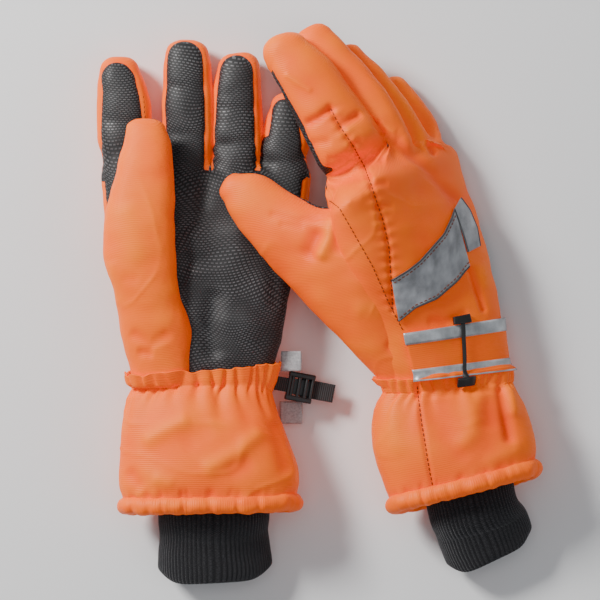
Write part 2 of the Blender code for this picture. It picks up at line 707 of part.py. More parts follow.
def main():
    clear_scene()
    parts = new_collection("work_gloves")
    cutters = new_collection("cutters")
    looks = {
        "orange": material("orange_polyester", ORANGE, 0.72),
        "grip": material("black_grip_fabric", BLACK_GRIP, 0.62),
        "fleece": material("fleece_lining", FLEECE, 0.95),
        "silver": material("silver_reflective_fabric", SILVER, 0.42, 0.3),
        "tape": material("silver_reflective_tape", TAPE_SILVER, 0.40, 0.3),
        "knit": material("black_rib_knit", KNIT_BLACK, 0.95),
        "plastic": material("black_plastic", PLASTIC_BLACK, 0.30),
        "elastic": material("black_elastic", KNIT_BLACK, 0.85),
        "label": material("satin_label", LABEL_WHITE, 0.55),
    }
    left = joint_empty("left_glove", parts, (0, 0, 0))
    right = joint_empty("right_glove", parts, (0, 0, 0))
    build_glove("left", LEFT_HAND, LEFT_STALLS, LEFT_THUMB, LEFT_CUFF, LEFT_KNIT, True,
                LEFT_BANDS, left, parts, cutters, looks)
    build_glove("right", RIGHT_HAND, RIGHT_STALLS, RIGHT_THUMB, RIGHT_CUFF, RIGHT_KNIT, False,
                RIGHT_BANDS, right, parts, cutters, looks)
    build_clip(left, parts, cutters, looks)


main()
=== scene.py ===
"""A pair of padded work gloves lying on a pale floor: the cloth, knit, tape and plastic around the frame."""

import json
import math
from collections import namedtuple

import bmesh
import bpy
import numpy as np
from mathutils import Matrix, Vector, noise
from mathutils.bvhtree import BVHTree


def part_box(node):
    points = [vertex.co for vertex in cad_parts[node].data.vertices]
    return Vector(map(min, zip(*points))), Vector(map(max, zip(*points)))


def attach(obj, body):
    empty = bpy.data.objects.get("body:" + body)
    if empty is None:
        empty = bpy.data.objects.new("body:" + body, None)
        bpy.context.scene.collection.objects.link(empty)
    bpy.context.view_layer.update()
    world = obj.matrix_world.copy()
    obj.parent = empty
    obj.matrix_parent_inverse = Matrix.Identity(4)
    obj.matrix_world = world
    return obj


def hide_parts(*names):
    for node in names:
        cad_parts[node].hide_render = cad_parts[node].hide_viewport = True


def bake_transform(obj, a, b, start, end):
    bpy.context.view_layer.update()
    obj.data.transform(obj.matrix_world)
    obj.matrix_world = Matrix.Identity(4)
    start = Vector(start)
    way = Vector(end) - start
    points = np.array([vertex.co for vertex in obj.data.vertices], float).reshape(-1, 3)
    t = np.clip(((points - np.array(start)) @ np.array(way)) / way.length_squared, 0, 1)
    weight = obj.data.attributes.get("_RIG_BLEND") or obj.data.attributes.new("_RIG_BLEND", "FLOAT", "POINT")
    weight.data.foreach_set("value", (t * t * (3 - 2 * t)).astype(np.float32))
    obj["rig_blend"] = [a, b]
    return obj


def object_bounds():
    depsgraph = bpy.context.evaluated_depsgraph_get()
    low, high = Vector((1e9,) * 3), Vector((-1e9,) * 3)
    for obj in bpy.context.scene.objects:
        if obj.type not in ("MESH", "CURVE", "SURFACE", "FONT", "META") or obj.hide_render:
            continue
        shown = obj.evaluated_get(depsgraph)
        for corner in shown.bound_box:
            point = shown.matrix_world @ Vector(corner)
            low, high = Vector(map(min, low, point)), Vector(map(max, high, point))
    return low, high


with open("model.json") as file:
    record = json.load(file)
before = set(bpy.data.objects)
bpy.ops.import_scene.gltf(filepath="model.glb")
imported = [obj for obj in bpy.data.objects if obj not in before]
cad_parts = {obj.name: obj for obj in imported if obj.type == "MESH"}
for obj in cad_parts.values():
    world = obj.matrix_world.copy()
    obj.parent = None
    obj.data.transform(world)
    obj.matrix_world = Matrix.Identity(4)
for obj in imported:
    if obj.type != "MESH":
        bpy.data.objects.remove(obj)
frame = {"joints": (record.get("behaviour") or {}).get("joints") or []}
cad_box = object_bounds()
bpy.ops.object.select_all(action="DESELECT")
SIDES = ("left", "right")
FINGERS = ("index", "middle", "ring", "little")

# ---------------------------------------------------------------- floor, lights and camera
# A plain pale table top, one large soft box high on the left, and weak fill from the right and from
# above. The camera looks straight down through a long lens.

FLOOR_SIZE = 6.0
FLOOR_GREY = (0.82, 0.825, 0.835, 1.0)
CAMERA_HEIGHT = 3.0
CAMERA_AIM = (-0.0111, 0.0006)
VIEW_WIDTH = 0.360
VIEW_LEVEL = 0.030  # the height at which the view is VIEW_WIDTH wide
SENSOR = 36.0

bpy.ops.mesh.primitive_plane_add(size=FLOOR_SIZE, location=(0, 0, cad_box[0].z - 0.0002))
floor = bpy.context.active_object
floor.name = "floor"
floor_finish = bpy.data.materials.new("pale_table")
floor_finish.use_nodes = True
floor_shader = floor_finish.node_tree.nodes["Principled BSDF"]
floor_shader.inputs["Base Color"].default_value = FLOOR_GREY
floor_shader.inputs["Roughness"].default_value = 0.7
floor.data.materials.append(floor_finish)


def soft_box(name, place, size, power, colour):
    """A square area light that faces the middle of the gloves."""
    light = bpy.data.lights.new(name, "AREA")
    light.size = size
    light.energy = power
    light.color = colour
    lamp = bpy.data.objects.new(name, light)
    lamp.location = place
    lamp.rotation_euler = (-Vector(place)).to_track_quat("-Z", "Y").to_euler()
    bpy.context.scene.collection.objects.link(lamp)


soft_box("key_light", (-1.05, 0.80, 0.95), 0.40, 40.0, (1.0, 0.985, 0.96))
soft_box("fill_light", (1.2, -0.5, 1.3), 1.0, 3.0, (0.95, 0.97, 1.0))
soft_box("top_light", (0.0, 0.1, 1.9), 1.2, 5.0, (1.0, 1.0, 1.0))

world = bpy.data.worlds.new("studio")
world.use_nodes = True
world.node_tree.nodes["Background"].inputs["Color"].default_value = (0.92, 0.95, 1.0, 1.0)
world.node_tree.nodes["Background"].inputs["Strength"].default_value = 0.26
bpy.context.scene.world = world

camera_data = bpy.data.cameras.new("camera")
camera_data.sensor_width = SENSOR
camera_data.lens = SENSOR * (CAMERA_HEIGHT - VIEW_LEVEL) / VIEW_WIDTH
camera = bpy.data.objects.new("camera", camera_data)
camera.location = (*CAMERA_AIM, CAMERA_HEIGHT)
bpy.context.scene.collection.objects.link(camera)
bpy.context.scene.camera = camera

# ---------------------------------------------------------------- woven cloth
# The outer cloth is fluorescent polyester with a fine cross rib. It shines softly, and it has a
# faint painted glow of its own. Its colour is painted deeper in its folds and paler along their
# crests: painted shade in the folds and painted highlight on the crests.


def new_material(name, roughness, metallic=0.0):
    """A material with its tree, its Principled shader, and both set to plain values."""
    material = bpy.data.materials.new(name)
    material.use_nodes = True
    tree = material.node_tree
    shader = tree.nodes["Principled BSDF"]
    shader.inputs["Roughness"].default_value = roughness
    shader.inputs["Metallic"].default_value = metallic
    return material, tree, shader


def add_node(tree, kind, links=(), **values):
    """A node with its settings, its input values, and links (input, output socket) into it."""
    node = tree.nodes.new("ShaderNode" + kind)
    for key, value in values.items():
        if key.startswith("in_"):
            node.inputs[int(key[3:])].default_value = value
        else:
            setattr(node, key, value)
    for socket, source in links:
        tree.links.new(source, node.inputs[socket])
    return node


def ramp_between(tree, source, stops, interpolation="LINEAR"):
    """A colour ramp over a value, with stops (position, colour)."""
    node = add_node(tree, "ValToRGB", [(0, source)])
    node.color_ramp.interpolation = interpolation
    elements = node.color_ramp.elements
    while len(elements) < len(stops):
        elements.new(0.5)
    for element, (position, colour) in zip(elements, stops):
        element.position = position
        element.color = (*colour, 1.0)
    return node


def raise_by(tree, shader, height, strength, distance):
    """Lets a height over the surface catch the light."""
    bump = add_node(tree, "Bump", [("Height", height)])
    bump.inputs["Strength"].default_value = strength
    bump.inputs["Distance"].default_value = distance
    tree.links.new(bump.outputs[0], shader.inputs["Normal"])


def rib_weave_group():
    """Ribs across the cloth and threads along it: a height, and a slow mottle, from a flat place."""
    group = bpy.data.node_groups.new("rib_weave", "ShaderNodeTree")
    group.interface.new_socket("Place", in_out="INPUT", socket_type="NodeSocketVector")
    group.interface.new_socket("Ribs per metre", in_out="INPUT", socket_type="NodeSocketFloat")
    group.interface.new_socket("Height", in_out="OUTPUT", socket_type="NodeSocketFloat")
    group.interface.new_socket("Mottle", in_out="OUTPUT", socket_type="NodeSocketFloat")
    inside = group.nodes.new("NodeGroupInput")
    outside = group.nodes.new("NodeGroupOutput")
    drift = add_node(group, "TexNoise", [("Vector", inside.outputs["Place"])], in_2=90.0, in_3=2.0)
    apart = add_node(group, "SeparateXYZ", [(0, inside.outputs["Place"])])
    wander = add_node(group, "Math", [(0, drift.outputs[0])], operation="MULTIPLY", in_1=0.0011)
    across = add_node(group, "Math", [(0, apart.outputs[1]), (1, wander.outputs[0])], operation="ADD")
    turns = add_node(group, "Math", [(0, across.outputs[0]), (1, inside.outputs["Ribs per metre"])],
                     operation="MULTIPLY")
    angle = add_node(group, "Math", [(0, turns.outputs[0])], operation="MULTIPLY", in_1=math.tau)
    ribs = add_node(group, "Math", [(0, angle.outputs[0])], operation="SINE")
    along = add_node(group, "Math", [(0, apart.outputs[0]), (1, inside.outputs["Ribs per metre"])],
                     operation="MULTIPLY")
    threads = add_node(group, "Math", [(0, along.outputs[0])], operation="MULTIPLY", in_1=1.9 * math.tau)
    warp = add_node(group, "Math", [(0, threads.outputs[0])], operation="SINE")
    faint = add_node(group, "Math", [(0, warp.outputs[0])], operation="MULTIPLY", in_1=0.35)
    height = add_node(group, "Math", [(0, ribs.outputs[0]), (1, faint.outputs[0])], operation="ADD")
    mottle = add_node(group, "TexNoise", [("Vector", inside.outputs["Place"])], in_2=38.0, in_3=3.0)
    group.links.new(height.outputs[0], outside.inputs["Height"])
    group.links.new(mottle.outputs[0], outside.inputs["Mottle"])
    return group


RIB_WEAVE = rib_weave_group()
# The deep orange is painted shade for the folds, and the pale orange is painted highlight for the crests.
ORANGE_PAINTED_SHADE = (0.72, 0.030, 0.0)
ORANGE_MID = (1.0, 0.115, 0.0)
ORANGE_PAINTED_HIGHLIGHT = (1.0, 0.20, 0.0)


def orange_cloth():
    material, tree, shader = new_material("orange_polyester", 0.50)
    shader.inputs["Sheen Weight"].default_value = 0.04
    shader.inputs["Sheen Tint"].default_value = (1.0, 0.40, 0.05, 1.0)
    shader.inputs["Specular IOR Level"].default_value = 0.22
    # A painted glow: the emission makes the cloth give off faint light of its own, for its fluorescent look.
    shader.inputs["Emission Strength"].default_value = 0.16
    shader.inputs["Emission Color"].default_value = (1.0, 0.09, 0.0, 1.0)
    place = add_node(tree, "UVMap", uv_map="cloth")
    weave = add_node(tree, "Group", node_tree=RIB_WEAVE)
    tree.links.new(place.outputs[0], weave.inputs["Place"])
    weave.inputs["Ribs per metre"].default_value = 900.0
    # Painted shade and highlight: the stored fold depth darkens the colour where the cloth sinks into folds
    # and seams, and lightens it on the raised crests.
    relief = add_node(tree, "Attribute", attribute_name="relief")
    lifted = add_node(tree, "Math", [(0, relief.outputs["Fac"])], operation="MULTIPLY_ADD",
                      in_1=90.0, in_2=0.5)
    shade = add_node(tree, "Math", [(0, weave.outputs["Mottle"]), (1, lifted.outputs[0]),
                                    (2, lifted.outputs[0])], operation="MULTIPLY_ADD")
    colours = ramp_between(tree, shade.outputs[0],
                           [(0.18, ORANGE_PAINTED_SHADE), (0.62, ORANGE_MID), (1.0, ORANGE_PAINTED_HIGHLIGHT)])
    tree.links.new(colours.outputs[0], shader.inputs["Base Color"])
    raise_by(tree, shader, weave.outputs["Height"], 0.22, 0.0003)
    return material


ORANGE_CLOTH = orange_cloth()

# ---------------------------------------------------------------- grip fabric
# The palm and the fingers' fronts are black fabric with rows of short raised grey dashes, laid like
# bricks. The rows ripple because they follow the padding under them.

GRIP_ROW = 0.0015
GRIP_DASH = 0.0024


def grip_fabric():
    material, tree, shader = new_material("grip_fabric", 0.55)
    place = add_node(tree, "UVMap", uv_map="cloth")
    ripple = add_node(tree, "TexNoise", [("Vector", place.outputs[0])], in_2=26.0, in_3=1.0)
    shift = add_node(tree, "VectorMath", [(0, ripple.outputs["Color"])], operation="SCALE")
    shift.inputs["Scale"].default_value = 0.020
    moved = add_node(tree, "VectorMath", [(0, place.outputs[0]), (1, shift.outputs[0])],
                     operation="ADD")
    bricks = add_node(tree, "TexBrick", [("Vector", moved.outputs[0])])
    bricks.inputs["Color1"].default_value = (1, 1, 1, 1)
    bricks.inputs["Color2"].default_value = (0.72, 0.72, 0.72, 1)
    bricks.inputs["Mortar"].default_value = (0, 0, 0, 1)
    bricks.inputs["Scale"].default_value = 1.0
    bricks.inputs["Mortar Size"].default_value = 0.00050
    bricks.inputs["Mortar Smooth"].default_value = 0.35
    bricks.inputs["Brick Width"].default_value = GRIP_DASH
    bricks.inputs["Row Height"].default_value = GRIP_ROW
    worn = add_node(tree, "TexNoise", [("Vector", place.outputs[0])], in_2=55.0, in_3=3.0)
    patchy = ramp_between(tree, worn.outputs[0], [(0.32, (0.42,) * 3), (0.68, (1.0,) * 3)])
    dashes = add_node(tree, "MixRGB", [(1, bricks.outputs[0]), (2, patchy.outputs[0])],
                      blend_type="MULTIPLY", in_0=1.0)
    colours = ramp_between(tree, dashes.outputs[0],
                           [(0.05, (0.008, 0.008, 0.009)), (1.0, (0.135, 0.135, 0.140))])
    tree.links.new(colours.outputs[0], shader.inputs["Base Color"])
    gloss = add_node(tree, "MapRange", [(0, dashes.outputs[0])], in_3=0.62, in_4=0.34)
    tree.links.new(gloss.outputs[0], shader.inputs["Roughness"])
    raise_by(tree, shader, bricks.outputs[0], 0.9, 0.0005)
    return material


GRIP_FABRIC = grip_fabric()

# ---------------------------------------------------------------- hands and fingers
# Each glove's hand and four fingers are one padded cloth bag. It is made closed, with the fingers
# spread, and is then laid: the fingers come together, the padding swells, and the cloth creases.
# It is cut along its seams into the back, the palm and each finger's shell and grip.

# A slice across a padded form: its two edges seen from above, its middle height, half its
# thickness, and how far its right edge is turned down, in degrees. Metres.
Slice = namedtuple("Slice", "ax ay bx by z rise roll")

HAND = {
    "left": [
        Slice(-0.1090, -0.0560, -0.0310, -0.0560, 0.0215, 0.0120, 0),
        Slice(-0.1140, -0.0400, -0.0265, -0.0400, 0.0225, 0.0150, 0),
        Slice(-0.1180, -0.0180, -0.0215, -0.0180, 0.0230, 0.0165, 0),
        Slice(-0.1225, 0.0080, -0.0165, 0.0080, 0.0222, 0.0170, 0),
        Slice(-0.1275, 0.0320, -0.0120, 0.0320, 0.0205, 0.0168, 0),
        Slice(-0.1290, 0.0560, -0.0085, 0.0560, 0.0185, 0.0155, 0),
        Slice(-0.1270, 0.0700, -0.0075, 0.0700, 0.0165, 0.0135, 0),
        Slice(-0.1200, 0.0800, -0.0130, 0.0790, 0.0150, 0.0095, 0),
    ],
    "right": [
        Slice(0.0400, -0.0560, 0.1140, -0.0490, 0.0260, 0.0150, 8),
        Slice(0.0370, -0.0400, 0.1120, -0.0315, 0.0278, 0.0178, 14),
        Slice(0.0320, -0.0200, 0.1085, -0.0060, 0.0302, 0.0200, 22),
        Slice(0.0250, 0.0000, 0.1020, 0.0190, 0.0335, 0.0212, 32),
        Slice(0.0180, 0.0220, 0.0935, 0.0485, 0.0362, 0.0214, 40),
        Slice(0.0110, 0.0450, 0.0825, 0.0800, 0.0368, 0.0205, 46),
        Slice(0.0110, 0.0600, 0.0780, 0.0960, 0.0362, 0.0190, 50),
        Slice(0.0170, 0.0730, 0.0690, 0.1020, 0.0350, 0.0130, 50),
    ],
}
FINGER = {
    "left": {
        "index": [
            Slice(-0.1280, 0.0450, -0.0960, 0.0450, 0.0165, 0.0130, 0),
            Slice(-0.1310, 0.0750, -0.0965, 0.0750, 0.0150, 0.0130, 0),
            Slice(-0.1330, 0.1000, -0.1000, 0.1000, 0.0140, 0.0128, 0),
            Slice(-0.1332, 0.1250, -0.1025, 0.1250, 0.0130, 0.0122, 0),
            Slice(-0.1325, 0.1380, -0.1075, 0.1380, 0.0125, 0.0112, 0),
        ],
        "middle": [
            Slice(-0.0950, 0.0450, -0.0640, 0.0450, 0.0170, 0.0132, 0),
            Slice(-0.0945, 0.0750, -0.0640, 0.0750, 0.0150, 0.0132, 0),
            Slice(-0.0940, 0.1100, -0.0637, 0.1100, 0.0140, 0.0128, 0),
            Slice(-0.0938, 0.1380, -0.0640, 0.1380, 0.0130, 0.0120, 0),
            Slice(-0.0928, 0.1480, -0.0655, 0.1480, 0.0128, 0.0110, 0),
        ],
        "ring": [
            Slice(-0.0655, 0.0450, -0.0345, 0.0450, 0.0165, 0.0130, 0),
            Slice(-0.0648, 0.0750, -0.0338, 0.0750, 0.0150, 0.0130, 0),
            Slice(-0.0640, 0.1050, -0.0333, 0.1050, 0.0138, 0.0126, 0),
            Slice(-0.0632, 0.1310, -0.0335, 0.1310, 0.0130, 0.0118, 0),
            Slice(-0.0615, 0.1400, -0.0350, 0.1400, 0.0128, 0.0108, 0),
        ],
        "little": [
            Slice(-0.0370, 0.0450, -0.0085, 0.0450, 0.0160, 0.0125, 0),
            Slice(-0.0355, 0.0700, -0.0055, 0.0700, 0.0145, 0.0122, 0),
            Slice(-0.0345, 0.0900, -0.0042, 0.0900, 0.0132, 0.0116, 0),
            Slice(-0.0325, 0.1080, -0.0060, 0.1080, 0.0125, 0.0106, 0),
            Slice(-0.0300, 0.1170, -0.0095, 0.1170, 0.0120, 0.0094, 0),
        ],
    },
    "right": {
        "index": [
            Slice(0.0070, 0.0480, 0.0490, 0.0760, 0.0505, 0.0150, 16),
            Slice(0.0020, 0.0740, 0.0385, 0.0985, 0.0525, 0.0145, 12),
            Slice(-0.0099, 0.1002, 0.0232, 0.1210, 0.0540, 0.0138, 10),
            Slice(-0.0240, 0.1270, 0.0080, 0.1420, 0.0545, 0.0128, 9),
            Slice(-0.0322, 0.1440, -0.0075, 0.1545, 0.0540, 0.0108, 8),
        ],
        "middle": [
            Slice(0.0330, 0.0640, 0.0590, 0.0830, 0.0410, 0.0100, 4),
            Slice(0.0260, 0.0850, 0.0535, 0.1020, 0.0408, 0.0095, 2),
            Slice(0.0130, 0.1100, 0.0395, 0.1270, 0.0410, 0.0090, 0),
            Slice(-0.0060, 0.1350, 0.0175, 0.1520, 0.0408, 0.0086, 0),
            Slice(-0.0140, 0.1500, 0.0075, 0.1625, 0.0400, 0.0078, 0),
        ],
        "ring": [
            Slice(0.0500, 0.0600, 0.0735, 0.0760, 0.0255, 0.0095, 2),
            Slice(0.0455, 0.0760, 0.0700, 0.0920, 0.0250, 0.0090, 0),
            Slice(0.0320, 0.0990, 0.0560, 0.1150, 0.0250, 0.0086, 0),
            Slice(0.0165, 0.1235, 0.0385, 0.1385, 0.0242, 0.0082, 0),
            Slice(0.0075, 0.1395, 0.0260, 0.1510, 0.0238, 0.0074, 0),
        ],
        "little": [
            Slice(0.0580, 0.0600, 0.0830, 0.0760, 0.0115, 0.0095, 0),
            Slice(0.0560, 0.0770, 0.0795, 0.0930, 0.0098, 0.0090, 0),
            Slice(0.0470, 0.0950, 0.0700, 0.1110, 0.0092, 0.0084, 0),
            Slice(0.0375, 0.1120, 0.0590, 0.1260, 0.0090, 0.0080, 0),
            Slice(0.0335, 0.1210, 0.0530, 0.1320, 0.0088, 0.0074, 0),
        ],
    },
}
# How far each fingertip goes past its last slice.
TIP = {
    "left": {"index": 0.0100, "middle": 0.0100, "ring": 0.0100, "little": 0.0095},
    "right": {"index": 0.0095, "middle": 0.0090, "ring": 0.0080, "little": 0.0075},
}
# How far each finger is moved while the bag is closed, so that neighbours stay apart.
SPREAD = {
    "left": {"index": (-0.010, 0, 0), "middle": (-0.002, 0, 0), "ring": (0.004, 0, 0),
             "little": (0.012, 0, 0)},
    "right": {"index": (-0.006, -0.004, 0.024), "middle": (0, 0, 0.009), "ring": (0, 0, -0.006),
              "little": (0.006, 0.004, -0.021)},
}
SPREAD_FROM = {"left": 0.030, "right": 0.012}  # along a finger from its root slice
SPREAD_OVER = 0.022
ROOT_CUT = {"left": 0.043, "right": 0.036}  # along a finger, where its own pieces start
PALM_UP = {"left": 1.0, "right": -1.0}
ROUNDNESS = 2.3
VOXEL = 0.0021
ROWS_PER_SLICE = 6
RING_POINTS = 40


Rows = namedtuple("Rows", "centre across up along half rise")


def unit(ways):
    """Each way, made one long."""
    return ways / np.linalg.norm(ways, axis=1)[:, None]


def run_along(path):
    """How far along a path each of its points is."""
    return np.concatenate([[0], np.cumsum(np.linalg.norm(np.diff(path, axis=0), axis=1))])


def slice_rows(slices, per=ROWS_PER_SLICE):
    """The slices drawn through a smooth curve: centres, cross ways, ways up, ways along, half sizes."""
    table = np.array(slices, float)
    count = len(table)
    rows = []
    for i in range(count - 1):
        p0, p1, p2, p3 = (table[min(max(i + k, 0), count - 1)] for k in (-1, 0, 1, 2))
        for t in np.arange(per) / per:
            rows.append(0.5 * (2 * p1 + (p2 - p0) * t + (2 * p0 - 5 * p1 + 4 * p2 - p3) * t * t
                               + (3 * p1 - p0 - 3 * p2 + p3) * t ** 3))
    rows.append(table[-1])
    rows = np.array(rows)
    centre = np.column_stack([(rows[:, 0] + rows[:, 2]) / 2, (rows[:, 1] + rows[:, 3]) / 2, rows[:, 4]])
    flat = np.column_stack([rows[:, 2] - rows[:, 0], rows[:, 3] - rows[:, 1], 0 * rows[:, 0]])
    width = np.linalg.norm(flat, axis=1)
    roll = np.radians(rows[:, 6])
    across = flat / width[:, None] * np.cos(roll)[:, None]
    across[:, 2] = -np.sin(roll)
    along = np.gradient(centre, axis=0)
    along -= across * (along * across).sum(1)[:, None]
    along = unit(along)
    half = width / 2 / np.cos(roll)
    return Rows(centre, across, np.cross(across, along), along, half, rows[:, 5])


def oval(count=RING_POINTS, roundness=ROUNDNESS):
    """A rounded oblong about the origin, as cross and up shares of a slice's half sizes."""
    angle = np.arange(count) * math.tau / count
    cross, rise = np.cos(angle), np.sin(angle)
    power = 2 / roundness
    return np.sign(cross) * np.abs(cross) ** power, np.sign(rise) * np.abs(rise) ** power


def placed(name, mesh):
    """A new object that shows the mesh."""
    obj = bpy.data.objects.new(name, mesh)
    bpy.context.scene.collection.objects.link(obj)
    return obj


def grid_mesh(name, rings, caps=True, flip=False, uv=None, closed=True):
    """An object whose faces join each ring of points to the next, with a fan over each end."""
    rings = np.asarray(rings, float)
    rows, count = rings.shape[:2]
    points = [tuple(p) for p in rings.reshape(-1, 3)]
    faces, corners = [], []
    around = count if closed else count - 1
    for r in range(rows - 1):
        for c in range(around):
            n = (c + 1) % count
            faces.append((r * count + c, r * count + n, (r + 1) * count + n, (r + 1) * count + c))
            corners.append(((r, c), (r, c + 1), (r + 1, c + 1), (r + 1, c)))
    if caps:
        points.append(tuple(rings[0].mean(0)))
        points.append(tuple(rings[-1].mean(0)))
        first, last = len(points) - 2, len(points) - 1
        for c in range(count):
            n = (c + 1) % count
            faces.append((first, n, c))
            faces.append((last, (rows - 1) * count + c, (rows - 1) * count + n))
    if flip:
        faces = [tuple(reversed(f)) for f in faces]
        corners = [tuple(reversed(f)) for f in corners]
    mesh = bpy.data.meshes.new(name)
    mesh.from_pydata(points, [], faces)
    if uv is not None:
        layer = mesh.uv_layers.new(name="cloth")
        flat = [uv(r, c) for face in corners for r, c in face]
        flat += [(0.0, 0.0)] * (len(mesh.loops) - len(flat))
        layer.data.foreach_set("uv", np.array(flat, float).ravel())
    mesh.shade_smooth()
    return placed(name, mesh)


def closed_tube(name, rows, tip=0.0, shift=None):
    """A closed padded tube through the rows, with a round end of length tip, moved row by row."""
    cross, rise = oval()
    centre = rows.centre + (0 if shift is None else shift)
    rings = [centre[i] + np.outer(cross * rows.half[i], rows.across[i])
             + np.outer(rise * rows.rise[i], rows.up[i]) for i in range(len(centre))]
    for k in range(1, 8 if tip else 1):
        turn = k / 8 * math.pi / 2
        size = math.cos(turn) ** 0.8
        end = centre[-1] + rows.along[-1] * tip * math.sin(turn)
        rings.append(end + np.outer(cross * rows.half[-1] * size, rows.across[-1])
                     + np.outer(rise * rows.rise[-1] * size, rows.up[-1]))
    return grid_mesh(name, rings, flip=True)


def select_only(*objects):
    bpy.ops.object.select_all(action="DESELECT")
    for obj in objects:
        obj.select_set(True)
    bpy.context.view_layer.objects.active = objects[0]


def joined(name, objects):
    """One object out of several."""
    select_only(*objects)
    if len(objects) > 1:
        bpy.ops.object.join()
    objects[0].name = name
    objects[0].data.name = name
    return objects[0]


def apply_modifier(obj, kind, **values):
    """Adds one modifier with its settings and applies it."""
    modifier = obj.modifiers.new(kind.lower(), kind)
    for key, value in values.items():
        setattr(modifier, key, value)
    select_only(obj)
    bpy.ops.object.modifier_apply(modifier=modifier.name)


def points_of(mesh, field="co"):
    found = np.empty(len(mesh.vertices) * 3)
    if field == "normal":
        mesh.vertex_normals.foreach_get("vector", found)
    else:
        mesh.vertices.foreach_get(field, found)
    return found.reshape(-1, 3)


def set_points(mesh, points):
    mesh.vertices.foreach_set("co", np.ascontiguousarray(points, float).ravel())
    mesh.update()


FLOOR_LEVEL = cad_box[0].z
FLOOR_SOFT = 0.0045  # cloth lower than this over the floor is pressed flat


def rest_on_floor(points):
    """The points, with what would sink into the floor pressed flat on it."""
    height = points[:, 2] - FLOOR_LEVEL - 0.0002
    pressed = np.where(height < FLOOR_SOFT, FLOOR_SOFT * np.exp((height - FLOOR_SOFT) / FLOOR_SOFT), height)
    return np.column_stack([points[:, :2], pressed + FLOOR_LEVEL + 0.0002])


def relax(mesh, rounds, give=0.5, take=-0.53):
    """Evens the points out over their neighbours without shrinking the form."""
    edges = np.empty(len(mesh.edges) * 2, int)
    mesh.edges.foreach_get("vertices", edges)
    a, b = edges.reshape(-1, 2).T
    points = points_of(mesh)
    count = len(points)
    degree = np.bincount(np.concatenate([a, b]), minlength=count)[:, None]
    for share in [give, take] * rounds:
        total = np.column_stack([np.bincount(a, points[b, k], count) + np.bincount(b, points[a, k], count)
                                 for k in range(3)])
        points = points + share * (total / degree - points)
    set_points(mesh, points)


def smoothstep(value):
    value = np.clip(value, 0, 1)
    return value * value * (3 - 2 * value)


def local_places(points, rows):
    """Each point's nearest row, and its place there: along from the first row, across, and up."""
    lengths = run_along(rows.centre)
    gap = ((points[:, None] - rows.centre[None]) ** 2).sum(2)
    near = gap.argmin(1)
    off = points - rows.centre[near]
    return near, np.column_stack([
        lengths[near] + (off * rows.along[near]).sum(1),
        (off * rows.across[near]).sum(1),
        (off * rows.up[near]).sum(1),
    ])


def store(mesh, name, values):
    attribute = mesh.attributes.get(name) or mesh.attributes.new(name, "FLOAT", "POINT")
    attribute.data.foreach_set("value", np.asarray(values, np.float32))


def read(mesh, name):
    values = np.empty(len(mesh.vertices), np.float32)
    mesh.attributes[name].data.foreach_get("value", values)
    return values.astype(float)


def line_places(points, line):
    """Each point's distance from a line seen from above, its share of the way along, and the length."""
    line = np.array(line, float)
    ways = np.diff(line, axis=0)
    lengths = np.linalg.norm(ways, axis=1)
    best = np.full(len(points), 1e9)
    share = np.zeros(len(points))
    start = 0.0
    for origin, way, length in zip(line, ways, lengths):
        t = np.clip(((points[:, :2] - origin) @ way) / length ** 2, 0, 1)
        gap = np.linalg.norm(points[:, :2] - origin - t[:, None] * way, axis=1)
        closer = gap < best
        best = np.where(closer, gap, best)
        share = np.where(closer, start + t * length, share)
        start += length
    return best, share / start, start


# A fold in the cloth seen from above: its points, how deep it goes (or how high, when negative),
# and its half width, in metres.
Fold = namedtuple("Fold", "line depth width")


def fold_depths(points, normals, folds, side):
    """How deep each point goes into the folds on the side that faces up (1) or down (-1)."""
    total = np.zeros(len(points))
    facing = smoothstep(normals[:, 2] * side * 1.6 + 0.15)
    for fold in folds:
        gap, share, length = line_places(points, fold.line)
        ends = smoothstep(np.minimum(share, 1 - share) * length / (1.6 * fold.width) + 0.25)
        total += fold.depth * np.exp(-(gap / fold.width) ** 2) * ends
    return total * facing


def crumple(points, scale, stretch=(1, 1, 1), seed=0.0):
    """Smooth noise from -1 to 1 at each point."""
    places = points * np.array(stretch) * scale + seed
    return np.array([noise.noise(Vector(p)) for p in places])


def creases(points, scale, stretch, seed, sharp=0.06):
    """Thin ridges where slow noise passes zero, which come and go over the cloth."""
    line = np.exp(-(crumple(points, scale, stretch, seed) / sharp) ** 2)
    return line * smoothstep(crumple(points, scale * 0.6, seed=seed + 20.0) * 3 + 0.3)


LEFT_PALM_FOLDS = [
    Fold([(-0.0665, 0.0760), (-0.0710, 0.0520)], 0.0016, 0.0050),
    Fold([(-0.0620, 0.0080), (-0.0650, -0.0170), (-0.0620, -0.0360)], 0.0032, 0.0060),
    Fold([(-0.0760, 0.0300), (-0.0860, 0.0060)], 0.0016, 0.0060),
    Fold([(-0.0400, -0.0020), (-0.0440, -0.0250)], -0.0022, 0.0100),
    Fold([(-0.0780, 0.0450), (-0.0700, 0.0250)], -0.0016, 0.0070),
    Fold([(-0.0480, 0.0500), (-0.0470, 0.0200)], -0.0020, 0.0090),
    Fold([(-0.0270, 0.0250), (-0.0260, -0.0060)], 0.0014, 0.0050),
    Fold([(-0.0930, 0.1010), (-0.0660, 0.0985)], 0.0012, 0.0040),
    Fold([(-0.0920, 0.1290), (-0.0670, 0.1270)], 0.0009, 0.0035),
    Fold([(-0.0620, 0.0940), (-0.0370, 0.0960)], 0.0012, 0.0040),
    Fold([(-0.0620, 0.1160), (-0.0370, 0.1150)], 0.0009, 0.0035),
    Fold([(-0.0330, 0.0830), (-0.0080, 0.0850)], 0.0011, 0.0040),
    Fold([(-0.1300, 0.1080), (-0.1050, 0.1060)], 0.0010, 0.0040),
]
